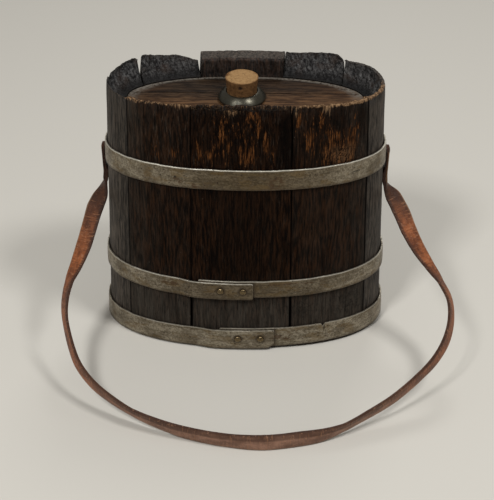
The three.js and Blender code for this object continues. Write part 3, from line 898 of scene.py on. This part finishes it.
# Radius that turns the angle round a hoop into a length, for the patterns that lie along it
lay_radius = 0.08
hoop_column_step = 0.55
hoop_column_margin = 3
hoop_end_columns = (0, 0.0004, 0.001, 0.002, 0.0032, 0.0045)
face_shares = (0, 0.012, 0.03, *np.linspace(0.055, 0.945, 25), 0.97, 0.988, 1)
back_shares = (0.985, 0.8, 0.5, 0.2, 0.015)
hoop_wear = {
    "Dent Depth": 0.0004,
    "Dent Size": 0.014,
    "Grain Depth": 0.00005,
    "Grain Size": 0.003,
    "Hack Depth": 0.0,
    "Hack Size": 0.01,
}

# Marks of age on metal and leather: broad stains, small pits, fine scratches and a fine mottle
age_marks = noise_group("age_marks", {
    "Stain": (70, 5, 0.62, None, (0.46, 0.64)),
    "Pits": (600, 2, 0.5, None, (0.61, 0.69)),
    "Scratch": (900, 3, 0.6, (0.3, 0.3, 1), (0.62, 0.75)),
    "Fine": (750, 4, 0.65, None, None),
})

tin = Finish("tinned_iron", "lay")
marks = tin.effect(age_marks, 21)
streaks = tin.cloud(tin.where, 300, 22, 5, 0.65, (0.15, 1, 1))
tone = tin.total(0, (streaks, 0.4), (marks["Fine"], 0.6))
tin.colour = tin.shades(tone, 0.40, 0.61, (0.140, 0.116, 0.079), (0.375, 0.330, 0.252))
# Painted dark reflection: the metal is darkened round the middle of each hoop's front
tin.colour = tin.mix(tin.times(tin.stored("dark_reflection"), 0.74), tin.colour, (0.36, 0.30, 0.22), "MULTIPLY")
tin.coat(marks["Stain"], 0.55, (0.078, 0.056, 0.031))
tin.coat(tin.spots(0.5, 0.6, 140, 25, 5, 0.7, (0.5, 1, 1)), 0.5, (0.140, 0.088, 0.031))
dirt = tin.spots(0.51, 0.68, 260, 23, 6, 0.78, (0.6, 1, 1))
tin.coat(dirt, 0.62, (0.066, 0.043, 0.022))
# Grime and painted shade: darker along each hoop's lower edge and round each rivet, and a painted shadow
# past the lap's outer end
tin.coat(tin.stored("grime_and_shade"), 0.6, (0.060, 0.044, 0.028))
rust = tin.cloud(tin.where, 380, 24, 5, 0.7, (0.7, 1, 1))
rust = tin.span(tin.total(rust, (tin.stored("rust"), 0.19)), 0.64, 0.73)
tin.coat(rust, 0.85, (0.062, 0.031, 0.010))
tin.coat(marks["Scratch"], 0.25, (0.42, 0.40, 0.35))
# Painted highlight along each hoop's upper edge and lap ends, with bare worn metal there
tin.coat(tin.stored("edge"), 0.9, (0.78, 0.74, 0.64))
tin.coat(marks["Pits"], 0.85, (0.032, 0.020, 0.012))
tin.coat(tin.stored("hole"), 1, (0.006, 0.004, 0.003))
tin_shine = tin.total(0.8, (dirt, -0.5), (rust, -0.3))
tin_roughness = tin.total(0.24, (tone, 0.3), (marks["Stain"], 0.1), (dirt, 0.2))
tin_relief = tin.total(marks["Fine"], (marks["Pits"], -0.8), (dirt, -0.4), (marks["Scratch"], -0.3))
hoop_finish = tin.close(tin_roughness, tin_relief, 0.0003, 0.6, metallic=tin_shine)


def degrees_along(degrees, length):
    """Angle that is reached from another one after a length along the oval."""
    step = math.copysign(0.1, length)
    gone = 0
    while gone < abs(length):
        spots = [oval_place(math.radians(angle), body_height / 2, 0) for angle in (degrees, degrees + step)]
        gone += (spots[1] - spots[0]).length
        degrees += step
    return degrees


def make_hoop(
    cad_name, bottom, width, front_up, right_up, lap, chamfer, dark_reflection, edge_highlight_and_wear, holes=(), rusty=(), nicks=(),
):
    """Draws a hoop flat, from its start under the lap to its end on top, and bends it round."""
    start = degrees_along(lap, -lap_length / 2)
    end = degrees_along(lap, lap_length / 2) + 360
    shares = np.array([*face_shares, *back_shares])
    on_face = np.arange(len(shares)) < len(face_shares)
    bead = edge_round(np.minimum(shares, 1 - shares) * width, *hoop_round)
    face_depth = bead - hoop_swell * np.sin(np.pi * shares) - hoop_thickness
    rivet_names = [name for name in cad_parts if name.startswith(cad_name + "_rivet")]
    rivet_spots = [node_points(name).mean(axis=0) for name in rivet_names]
    angles = column_angles(start, end, hoop_end_columns, hoop_column_margin, hoop_column_step)
    points = []
    values = {label: [] for label in ("open", "edge", "grime_and_shade", "hole", "rust", "dark_reflection", "lay")}
    for degrees in angles:
        turn = math.radians(degrees)
        climb = ease(degrees, start + 360 - lap_ramp[0], start + 360 - lap_ramp[1])
        back = -hoop_clearance - climb * lap_offset
        lower = bottom + right_up * math.cos(turn) - front_up * math.sin(turn)
        lower += hoop_spiral * (1 - 2 * (degrees - start) / (end - start))
        lower = max(lower + hoop_unevenness * ripple(degrees * 0.21, lap), lowest_edge)
        upper = lower + width + hoop_unevenness * ripple(degrees * 0.27, lap + 7)
        to_end = min(end - degrees, degrees - start) * per_degree(degrees)
        lower += max(0, (chamfer if end - degrees < 10 else hoop_corner) - to_end)
        upper -= max(0, hoop_corner - to_end)
        for spot, nick, half in nicks:
            upper -= nick * max(0, 1 - abs(degrees - spot) * per_degree(spot) / half)
        heights = lower + (upper - lower) * shares
        points.append(np.column_stack([np.full(len(shares), turn), back + on_face * face_depth, heights]))
        values["lay"].append(points[-1] * (lay_radius, 1, 1))

        values["open"].append(on_face)
        # Painted highlight, with bare worn metal, on the upper edge and at the lap's ends
        near_edge = np.minimum((1 - shares) * width, to_end + hoop_corner)
        values["edge"].append(on_face * edge_highlight_and_wear * (1 - ease(near_edge, *edge_highlight_and_wear_reach)))
        # Grime and painted shade along the lower edge and in a ring round each rivet
        grime_and_shade = 1 - ease(shares * width, *edge_grime_and_shade)
        surface = np.array([oval_place(turn, level, back - hoop_thickness) for level in heights])
        for spot in rivet_spots:
            away = np.linalg.norm(surface - spot, axis=1)
            grime_and_shade = np.maximum(grime_and_shade, 1.4 * (1 - ease(away, *rivet_grime_and_shade)))
        # Painted shadow of the lap's outer end, on the turn of the hoop beneath it
        past_lap = (degrees - end + 360) * per_degree(degrees)
        if 0 < past_lap < 0.01:
            grime_and_shade = np.maximum(grime_and_shade, 1.5 * math.exp(-(past_lap / lap_shadow) ** 2))
        values["grime_and_shade"].append(np.where(on_face, grime_and_shade, 1))
        for label, places in (("hole", holes), ("rust", rusty)):
            mark = np.zeros(len(shares))
            for spot, level, half, tall in places:
                away = np.hypot((degrees % 360 - spot) * per_degree(spot) / half, (heights - level) / tall)
                mark = np.maximum(mark, 1 - ease(away, 0.4, 1))
            values[label].append(mark * on_face)
        # Strength of the painted dark reflection, greatest at the middle of the front
        middle_front = math.exp(-((degrees % 360 - dark_reflection_middle) / dark_reflection_reach) ** 2)
        values["dark_reflection"].append(np.full(len(shares), middle_front * dark_reflection))
    size = len(shares)
    last = (len(angles) - 1) * size
    faces = [*ring_faces(len(angles), size), tuple(range(size)), tuple(range(last, last + size))[::-1]]
    name = cad_name.replace("_hoop", "_band")
    piece = bend_piece(name, points, faces, values, hoop_wear, lap, hoop_finish)
    belongs(piece, "body", "hoop_iron", cad_name)


# Holes and rusty places are angle, height, half width and half height. Nicks in the upper edge are angle,
# depth and half width. The chamfer takes the lower corner off the outer end of the lap.
hoops = {
    "top_hoop": dict(
        bottom=0.1414, width=0.0165, front_up=0.0015, right_up=0.0005, lap=89.5, chamfer=0.001,
        dark_reflection=1.3, edge_highlight_and_wear=1, holes=[(243.4, 0.1512, 0.0012, 0.0012), (319, 0.1508, 0.0048, 0.0007)],
        rusty=[(281, 0.1490, 0.010, 0.009), (254, 0.1455, 0.012, 0.004), (244, 0.1480, 0.007, 0.004)],
    ),
    "middle_hoop": dict(
        bottom=0.0511, width=0.0151, front_up=-0.0025, right_up=0.0005, lap=263.8, chamfer=0.001,
        dark_reflection=1, edge_highlight_and_wear=0.65, rusty=[(289, 0.0610, 0.030, 0.0014), (240, 0.0580, 0.010, 0.004)],
    ),
    "bottom_hoop": dict(
        bottom=0.0012, width=0.0176, front_up=0.001, right_up=0.001, lap=270.9, chamfer=0.0045,
        dark_reflection=0.1, edge_highlight_and_wear=0.35, holes=[(302.9, 0.0165, 0.0008, 0.0034)],
        rusty=[(284, 0.0120, 0.012, 0.005)], nicks=[(302.5, 0.0030, 0.0014)],
    ),
}
for hoop_name, hoop in hoops.items():
    make_hoop(hoop_name, **hoop)

# Rivets
# Hammered iron rivets: two close each hoop's lap, and one at each end of the oval goes through the top
# hoop and the end of the strap, which turns on it.
rivet_names = sorted(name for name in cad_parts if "_rivet" in name)
rivet_radius = 0.0028
rivet_height = 0.0017
strap_rivet_radius = 0.0034
strap_rivet_height = 0.0009
strap_fold = 0.0004
iron = Finish("hammered_iron")
marks = iron.effect(age_marks, 31)
iron.colour = iron.mix(marks["Fine"], (0.075, 0.052, 0.026), (0.250, 0.185, 0.095))
grime_and_shade = iron.spots(0.5, 0.68, 700, 33)
iron.coat(grime_and_shade, 0.8, (0.050, 0.034, 0.021))
rivet_finish = iron.close(iron.total(0.22, (grime_and_shade, 0.25)), marks["Fine"], 0.0002, 0.5, metallic=0.9)

# The tree that puts a domed head on each point, along the point's "outward" and scaled by its "size"
rivet_inputs = {"Sides": "Int", "Hammer Marks": "Float", "Seed": "Float"}
riveting, given, result = new_tree("place_rivets", rivet_inputs)
rings = riveting.times(given["Sides"], 0.75)
dome_inputs = {"Segments": given["Sides"], "Rings": rings, "Radius": 1}
dome = riveting.add("GeometryNodeMeshUVSphere", dome_inputs)[0]
outward = riveting.named("outward", "FLOAT_VECTOR")
size = riveting.named("size", "FLOAT_VECTOR")
turned_out = riveting.add("FunctionNodeAlignRotationToVector", {"Vector": outward}, axis="Z")[0]
seat_inputs = {"Points": given["Geometry"], "Instance": dome, "Rotation": turned_out, "Scale": size}
heads = riveting.add("GeometryNodeInstanceOnPoints", seat_inputs)[0]
heads = riveting.add("GeometryNodeRealizeInstances", {"Geometry": heads})[0]
blows = riveting.cloud(riveting.add("GeometryNodeInputPosition")[0], 420, given["Seed"], 1)
end_tree(riveting, heads, riveting.times(blows, given["Hammer Marks"]), given, result)

seats = []
directions = []
scales = []
for rivet_name in rivet_names:
    corners = node_points(rivet_name)
    centre = corners.mean(axis=0)
    if "strap" in rivet_name:
        direction = np.array([math.copysign(1, centre[0]), 0, 0])
        radius, tall = strap_rivet_radius, strap_rivet_height
        corners = corners + direction * strap_fold
    else:
        spread = np.linalg.svd(corners - centre)[2]
        direction = spread[np.argmin([np.ptp(corners @ axis) for axis in spread])]
        direction = direction * math.copysign(1, direction[1] * centre[1])
        radius, tall = rivet_radius, rivet_height
    seats.append(centre + direction * ((corners @ direction).max() - tall - centre @ direction))
    directions.append(direction)
    scales.append((radius, radius, tall))
rivets = add_mesh("rivet_heads", seats, [])
paint(rivets, {"outward": directions, "size": scales})
rivet_values = {"Sides": 28, "Hammer Marks": 0.00035, "Seed": 5.0, "Material": rivet_finish}
run_tree(rivets, riveting, rivet_values, 60)
belongs(rivets, "body", "rivet_iron", *rivet_names)

# Neck collar
# A turned pewter neck: a low dome that sits on the head and a spout that goes down through it. It is
# dull grey with a dark skin, and its dome is worn a little uneven by handling.
collar_seat = 0.1903
collar_radius = 0.0172
collar_foot = 0.0012
collar_top = 0.1961
collar_top_radius = 0.0128
collar_lip = 0.0002
collar_arris = 0.0003
collar_sides = 96
collar_wear = 0.00014
bore_rows = 8
dome_rows = 14
dome_fullness = 0.25
spigot_bottom = 0.178
spigot_radius = 0.0128
cork_top = 0.207
cork_bottom = 0.178
cork_top_radius = 0.012
cork_bottom_radius = 0.0094
cork_clearance = 0.0003


def cork_radius(level):
    return float(np.interp(level, (cork_bottom, cork_top), (cork_bottom_radius, cork_top_radius)))


def turn_profile(profile, sides):
    """Points of a profile of radius and height, turned round the neck's axis."""
    points = []
    for turn in 2 * math.pi * np.arange(sides) / sides:
        for radius, level in profile:
            points.append(Vector((neck_x + radius * math.cos(turn), radius * math.sin(turn), level)))
    return points


pewter = Finish("dark_pewter")
marks = pewter.effect(age_marks, 41)
pewter.colour = pewter.mix(marks["Fine"], (0.037, 0.034, 0.0245), (0.087, 0.079, 0.058))
pewter.coat(marks["Stain"], 0.6, (0.030, 0.030, 0.024))
pewter.coat(marks["Scratch"], 0.4, (0.30, 0.30, 0.27))
pewter_roughness = pewter.total(0.29, (marks["Stain"], 0.2))
pewter_relief = pewter.total(marks["Fine"], (marks["Scratch"], -0.5))
collar_finish = pewter.close(pewter_roughness, pewter_relief, 0.0002, 0.35, metallic=0.8)

collar_profile = []
for level in np.linspace(spigot_bottom, collar_top - collar_lip, bore_rows + 1):
    collar_profile.append((cork_radius(level) + cork_clearance, level))
collar_profile.append((cork_radius(collar_top) + cork_clearance + collar_lip, collar_top))
for i in range(dome_rows + 1):
    turn = math.pi / 2 * (1 - i / dome_rows)
    flare = dome_fullness * math.cos(turn) + (1 - dome_fullness) * i / dome_rows
    climb = dome_fullness * math.sin(turn) + (1 - dome_fullness) * (1 - i / dome_rows)
    radius = collar_top_radius + (collar_radius - collar_top_radius) * flare
    level = collar_seat + collar_foot + (collar_top - collar_seat - collar_foot) * climb
    collar_profile.append((radius, level))
collar_profile += [
    (collar_radius, collar_seat + collar_arris),
    (collar_radius - collar_arris, collar_seat),
    (spigot_radius, collar_seat),
    (spigot_radius, spigot_bottom),
]
collar_points = turn_profile(collar_profile, collar_sides)
for spot in collar_points:
    if spot.z > collar_seat + 0.001 and math.hypot(spot.x - neck_x, spot.y) > 0.0126:
        spot.z -= collar_wear * (1 + noise.noise(spot * 160))
collar = add_shape("neck_dome", join_rings(collar_points, len(collar_profile)), collar_finish)
belongs(collar, "body", "collar_metal", "neck_collar")

# Cork
# A tapered stopper cut from cork bark and pushed into the neck. Its top is clean and pale, its side dark
# from handling, and its rim is chipped where it has been pulled out.
cork_sides = 84
cork_rows = 26
cork_edge = 0.0005
cork_dents = 0.00022
cork_pores = 0.0002
cork_top_dents = 0.0003
# Chips in the rim: place from the axis, reach and depth
cork_chips = [
    (-0.0115, 0.0045, 0.0045, 0.0016),
    (0.004, -0.0115, 0.0025, 0.0007),
    (0.0105, 0.006, 0.003, 0.0009),
]
cork_pit = Vector((neck_x - 0.0010, -0.0117, 0.2030))
pit_reach = 0.0016
pit_depth = 0.0008
pit_stain = 0.0010
bark = Finish("cork_bark")
handled = bark.stored("handled")
lumps = bark.cloud(bark.where, 450, 51, 4, 0.6)
specks = bark.spots(0.6, 0.7, 800, 52, 2, 0.55, (1, 1, 0.5))
pale = bark.shades(lumps, 0.3, 0.75, (0.250, 0.142, 0.057), (0.345, 0.208, 0.088))
dark = bark.shades(lumps, 0.3, 0.75, (0.098, 0.046, 0.016), (0.196, 0.098, 0.036))
bark.colour = bark.mix(handled, pale, dark)
bark.coat(specks, bark.total(0.25, (handled, 0.5)), (0.060, 0.028, 0.010))
bark.coat(bark.stored("pit"), 1, (0.012, 0.006, 0.003))
cork_finish = bark.close(0.85, bark.total(lumps, (specks, -0.8)), 0.0006, 0.8, gloss=0.2)

cork_profile = [(radius, cork_bottom) for radius in (0.0, 0.003, 0.006, 0.0088)]
for level in np.linspace(cork_bottom + cork_edge, cork_top - cork_edge, cork_rows + 1):
    cork_profile.append((cork_radius(level), level))
top_rings = (0.0115, 0.0105, 0.009, 0.0075, 0.006, 0.0045, 0.003, 0.0015, 0.0)
cork_profile += [(radius, cork_top) for radius in top_rings]
cork_points = turn_profile(cork_profile, cork_sides)
for spot in cork_points:
    out = Vector((spot.x - neck_x, spot.y, 0))
    bite = cork_dents * (1 + noise.noise(spot * 260)) + cork_pores * max(0, noise.noise(spot * 700))
    if out.length > 0.009:
        spot -= out.normalized() * bite
    if spot.z > cork_top - 0.0002:
        spot.z -= cork_top_dents * (1 + noise.noise(spot * 240))
        for x, y, reach, drop in cork_chips:
            spot.z -= drop * max(0, 1 - math.hypot(spot.x - neck_x - x, spot.y - y) / reach)
    hollow = max(0, 1 - (spot - cork_pit).length / pit_reach)
    spot -= out.normalized() * pit_depth * hollow
cork = add_shape("stopper", join_rings(cork_points, len(cork_profile)), cork_finish, 50)
handling = []
pits = []
for corner in cork.data.vertices:
    radius = math.hypot(corner.co.x - neck_x, corner.co.y)
    on_top = ease(corner.co.z, cork_top - 0.0012, cork_top - 0.0004) * (1 - ease(radius, 0.0105, 0.012))
    handling.append(0.12 + 0.88 * (1 - on_top))
    pits.append(np.clip(2 - (corner.co - cork_pit).length / pit_stain, 0, 1))
paint(cork, {"handled": handling, "pit": pits})
belongs(cork, "cork", "cork", "cork")

# Strap
# One long strip of old harness leather, folded over at both ends and riveted to the ends of the top hoop.
# It hangs, twists and lies round the front on its edge; use has curled it and cracked it across.
strap_width = 0.0127
strap_thickness = 0.0018
fold_length = 0.033
fold_thickness = (0.0011, 0.0012, 0.0019)
fold_width = 0.98
tip_length = 0.004
# Distances from a tip over which the doubled end stops, is pressed thick, and the strap comes to lie
doubled_end = (0.018, 0.034)
press_start = (0.015, 0.021)
press_end = (0.030, 0.038)
press_depth = 0.0012
lying_start = (0.15, 0.24)
strap_step = 0.0016
strap_lean = math.radians(41)
pivot_y = 0.004
strap_hang = 0.1050
floor_gap = 0.0001
hanging_end = [
    (strap_hang, pivot_y, 0.1491, 90),
    (strap_hang - 0.0003, pivot_y, 0.1355, 90),
    (strap_hang - 0.0006, 0.0037, 0.1255, 90),
    (strap_hang + 0.0010, 0.0015, 0.1175, 82),
]
# The line that the strap follows from its left end to its right: a point, and how far it faces out
strap_route = [
    (-0.1092, -0.0066, 0.1090, 24), (-0.1125, -0.0135, 0.1031, 6), (-0.1161, -0.0250, 0.0934, 18),
    (-0.1195, -0.0363, 0.0842, 25), (-0.1240, -0.0476, 0.0751, 49), (-0.1289, -0.0590, 0.0663, 73),
    (-0.1310, -0.0710, 0.0572, 80), (-0.1295, -0.0832, 0.0484, 89), (-0.1202, -0.1067, 0.0323, 93),
    (-0.1121, -0.1171, 0.0258, 98), (-0.1018, -0.1260, 0.0205, 103), (-0.0782, -0.1400, 0.0131, 112),
    (-0.0521, -0.1502, 0.0086, 106), (-0.0386, -0.1541, 0.0072, 100), (-0.0111, -0.1604, 0.0068, 95),
    (0.0168, -0.1623, 0.0068, 81), (0.0444, -0.1576, 0.0068, 83), (0.0583, -0.1542, 0.0072, 99),
    (0.0716, -0.1492, 0.0090, 111), (0.0841, -0.1426, 0.0118, 111), (0.1086, -0.1287, 0.0190, 103),
    (0.1305, -0.1118, 0.0291, 97), (0.1403, -0.1022, 0.0353, 90), (0.1479, -0.0910, 0.0429, 83),
    (0.1518, -0.0787, 0.0516, 82), (0.1513, -0.0664, 0.0607, 82), (0.1453, -0.0556, 0.0689, 82),
    (0.1372, -0.0456, 0.0767, 67), (0.1294, -0.0356, 0.0847, 45), (0.1228, -0.0250, 0.0934, 20),
    (0.1174, -0.0142, 0.1024, 4), (0.1113, -0.0045, 0.1106, 22),
]


def smooth_line(points, step):
    """A smooth curve through points with extra numbers, as rows about a step apart."""
    points = np.asarray(points, float)
    ends = np.vstack([2 * points[0] - points[1], points, 2 * points[-1] - points[-2]])
    rows = []
    for p0, p1, p2, p3 in zip(ends, ends[1:], ends[2:], ends[3:]):
        d0, d1, d2 = (math.sqrt(np.linalg.norm((b - a)[:3])) for a, b in ((p0, p1), (p1, p2), (p2, p3)))
        leave = d1 * ((p1 - p0) / d0 - (p2 - p0) / (d0 + d1) + (p2 - p1) / d1)
        reach = d1 * ((p2 - p1) / d1 - (p3 - p1) / (d1 + d2) + (p3 - p2) / d2)
        leave[3:] = reach[3:] = (p2 - p1)[3:]
        for t in np.linspace(0, 1, 24, endpoint=False):
            rows.append((2 * t**3 - 3 * t**2 + 1) * p1 + (t**3 - 2 * t**2 + t) * leave
                        + (3 * t**2 - 2 * t**3) * p2 + (t**3 - t**2) * reach)
    rows = np.array([*rows, points[-1]])
    run = np.concatenate([[0], np.cumsum(np.linalg.norm(np.diff(rows[:, :3], axis=0), axis=1))])
    even = np.linspace(0, run[-1], round(run[-1] / step) + 1)
    return np.column_stack([np.interp(even, run, column) for column in rows.T]), run[-1]


def unit(vectors):
    return vectors / np.linalg.norm(vectors, axis=1)[:, None]


left_end = [(-x, y, z, turn) for x, y, z, turn in hanging_end]
strap_rows, strap_length = smooth_line([*left_end, *strap_route, *hanging_end[::-1]], strap_step)
strap_line = strap_rows[:, :3]
tangents = unit(np.gradient(strap_line, axis=0))
turns = np.radians(strap_rows[:, 3])[:, None]
outwards = unit((strap_line - (0, pivot_y, 0)) * (1, 1, 0))
forward = np.array([0, -math.cos(strap_lean), math.sin(strap_lean)])
face_out = forward * np.cos(turns) + outwards * np.sin(turns)
face_out = unit(face_out - tangents * np.sum(face_out * tangents, axis=1)[:, None])
crosswise = np.cross(tangents, face_out)

# Section of the strip: share of the half width, and share of the half thickness, once round
section_across = (-1, -0.97, -0.86, -0.6, -0.3, 0, 0.3, 0.6, 0.86, 0.97, 1)
section_through = (0.3, 0.8, 1, 1, 1, 1, 1, 1, 1, 0.8, 0.3)
section = np.column_stack([section_across, section_through])
section = np.vstack([section, section[::-1] * (1, -1)])


def strip(line, cross, face, widths, thicks, cups, start_run=0):
    """Points, faces and surface places of a leather strip along a line."""
    steps = np.linalg.norm(np.diff(line, axis=0), axis=1)
    run = start_run + np.concatenate([[0], np.cumsum(steps)])[:, None]
    a, f = section.T
    aside = a * widths[:, None] / 2
    out = f * thicks[:, None] / 2
    curl = cups[:, None] * (a * a - 0.3) * widths[:, None]
    points = line[:, None] + cross[:, None] * aside[..., None] + face[:, None] * (out - curl)[..., None]
    lays = np.stack([np.broadcast_to(run, aside.shape), aside, out], axis=2)
    size = len(section)
    faces = [ring[::-1] for ring in ring_faces(len(line), size)]
    for here, flip in ((0, -1), ((len(line) - 1) * size, 1)):
        for i in range(size // 2 - 1):
            faces.append((here + i, here + i + 1, here + size - 2 - i, here + size - 1 - i)[::flip])
    return points.reshape(-1, 3), faces, lays.reshape(-1, 3)


def tip_round(to_tip):
    """Share of the width that is left near a rounded tip."""
    return np.sqrt(1 - np.clip(1 - to_tip / tip_length, 0, 0.97) ** 2)


def waver(spacing, seed):
    return np.array([ripple(place * spacing, seed) for place in run])


run = np.linspace(0, strap_length, len(strap_line))
to_tip = np.minimum(run, strap_length - run)
widths = strap_width * tip_round(to_tip) * (1 + 0.03 * (0.7 * waver(90, 1.5) + 0.5 * waver(420, 2.5)))
doubled = 1 - ease(to_tip, *doubled_end)
pressed = ease(to_tip, *press_start) * (1 - ease(to_tip, *press_end))
thicks = strap_thickness * (1 - 0.4 * doubled) * (1 + 0.06 * waver(160, 4.5)) + press_depth * pressed
lying = ease(to_tip, *lying_start)
cups = (0.015 + 0.055 * lying * (0.8 + 0.4 * waver(40, 9.5))) * ease(to_tip, 0.02, 0.05)
inner_line = strap_line - face_out * (strap_thickness * 0.2 * doubled + press_depth / 2 * pressed)[:, None]
strap_points, strap_faces, strap_lays = strip(inner_line, crosswise, face_out, widths, thicks, cups)
# The folded-over ends: short outer layers that cover the strip down from the rivets
fold_rows = int(fold_length / strap_step)
fold_run = run[:fold_rows]
fold_thick = np.interp(fold_run, (0, 0.012, fold_length), fold_thickness)
fold_thin = fold_thick * np.clip((run[fold_rows] - fold_run) / tip_length, 0.35, 1)
fold_widths = strap_width * fold_width * tip_round(fold_run)
for order in (1, -1):
    line, cross, out = (rows[::order][:fold_rows] for rows in (strap_line, crosswise, face_out))
    line = line + out * (strap_thickness * 0.1 + fold_thick / 2)[:, None]
    fold = strip(line, cross * order, out, fold_widths, fold_thin, np.zeros(fold_rows), 1.2 + 0.2 * order)
    strap_faces += [tuple(len(strap_points) + i for i in face) for face in fold[1]]
    strap_points = np.vstack([strap_points, fold[0]])
    strap_lays = np.vstack([strap_lays, fold[2]])
strap_points[:, 2] = np.maximum(strap_points[:, 2], floor_gap)
strap = add_mesh("leather_strip", strap_points, strap_faces)
strap_x, strap_y, strap_z = strap_points.T
# Painted shade: the strap darkens from these heights up to its hanging ends, which hang in shade against the
# body
shade_start = np.where(strap_x < 0, 0.074, 0.092)
strap_front = 1 - ease(strap_y, -0.150, -0.100)
paint(strap, {"lay": strap_lays, "front": strap_front, "ends": ease(strap_z, shade_start, 0.112)})

leather = Finish("harness_leather", "lay")
front = leather.stored("front")
ends = leather.stored("ends")
aside = leather.add("ShaderNodeSeparateXYZ", {0: leather.where})[1]
inner_edge = leather.times(aside, -1)
marks = leather.effect(age_marks, 61)
mottle = leather.cloud(leather.where, 120, 62, 5, 0.65, (0.5, 1, 1))
rich = leather.shades(mottle, 0.36, 0.66, (0.112, 0.031, 0.0102), (0.350, 0.112, 0.0385))
dull = leather.shades(mottle, 0.36, 0.66, (0.165, 0.083, 0.053), (0.360, 0.198, 0.133))
leather.colour = leather.mix(front, rich, dull)
# A dark band along the inner edge: on the front it is dye on the upper edge; along the side runs, where it
# is strongest, it is painted shade on the edge turned towards the body
band = leather.times(leather.span(inner_edge, 0.0010, 0.0026), front, 0.65)
inner_edge_shade = leather.times(leather.span(inner_edge, 0.0036, 0.0050), leather.total(0.8, (front, -0.6)))
leather.coat(leather.calc("MAXIMUM", band, inner_edge_shade), 1, (0.052, 0.021, 0.012))
# Painted shade over the upper runs and the hanging ends
leather.coat(ends, 0.85, (0.024, 0.013, 0.009))
wrinkles = leather.cloud(leather.where, 900, 63, 4, 0.66, (1, 0.14, 1))
leather.coat(leather.span(wrinkles, 0.52, 0.66), leather.total(0.62, (front, -0.4)), (0.050, 0.018, 0.009))
leather.coat(leather.span(wrinkles, 0.44, 0.36), 0.4, (0.40, 0.19, 0.092))
# The very inner edge is darker still: dye on the front's upper edge, painted shade along the side runs
leather.coat(leather.span(inner_edge, 0.0050, 0.0063), 0.7, (0.040, 0.017, 0.010))
# Painted highlight along the outer edge, as where a thick edge catches the light; weaker on the front
leather.coat(leather.span(aside, 0.0048, 0.0060), leather.total(0.55, (front, -0.3)), (0.27, 0.155, 0.082))
leather.coat(marks["Pits"], leather.total(0.5, (ends, -0.38)), (0.38, 0.20, 0.12))
leather_relief = leather.total(0, (marks["Fine"], 0.5), (wrinkles, -1.5))
strap_finish = leather.close(leather.total(0.36, (mottle, 0.25)), leather_relief, 0.0009, 0.9, gloss=0.22)
strap.data.materials.append(strap_finish)
smooth(strap.data, 50)
belongs(strap, "strap", "strap_leather", "carry_strap")

# Floor and light
# A plain pale floor and three soft lamps overhead, two from the front and one from behind, so that
# the top is lit most and the strap throws soft shadows to both sides.
floor_half = 4
floor_finish = bpy.data.materials.new("pale_floor")
floor_finish.use_nodes = True
floor_shader = floor_finish.node_tree.nodes["Principled BSDF"].inputs
floor_shader["Base Color"].default_value = (0.60, 0.575, 0.52, 1)
floor_shader["Roughness"].default_value = 0.9
floor_corners = [(floor_half * x, floor_half * y, 0) for x, y in ((-1, -1), (1, -1), (1, 1), (-1, 1))]
floor = add_mesh("floor", floor_corners, [(0, 1, 2, 3)])
floor.data.materials.append(floor_finish)
lamp_distance = 1.6
# Direction, power and size of each lamp
lamps = {
    "front_left_lamp": ((-0.36, -0.6, 1), 10, 0.24),
    "front_right_lamp": ((0.45, -0.3, 1), 9, 0.28),
    "rear_lamp": ((0.16, 0.67, 1), 4, 0.4),
}
for name, (direction, power, size) in lamps.items():
    lamp_data = bpy.data.lights.new(name, "AREA")
    lamp_data.energy = power
    lamp_data.size = size
    lamp = add_piece(name, lamp_data)
    towards = Vector(direction).normalized()
    lamp.location = towards * lamp_distance
    lamp.rotation_euler = towards.to_track_quat("Z", "Y").to_euler()
world = bpy.data.worlds.new("soft_room")
world.use_nodes = True
background = world.node_tree.nodes["Background"].inputs
background["Color"].default_value = (1, 0.98, 0.94, 1)
background["Strength"].default_value = 0.3
scene.world = world
scene.view_settings.view_transform = "Standard"
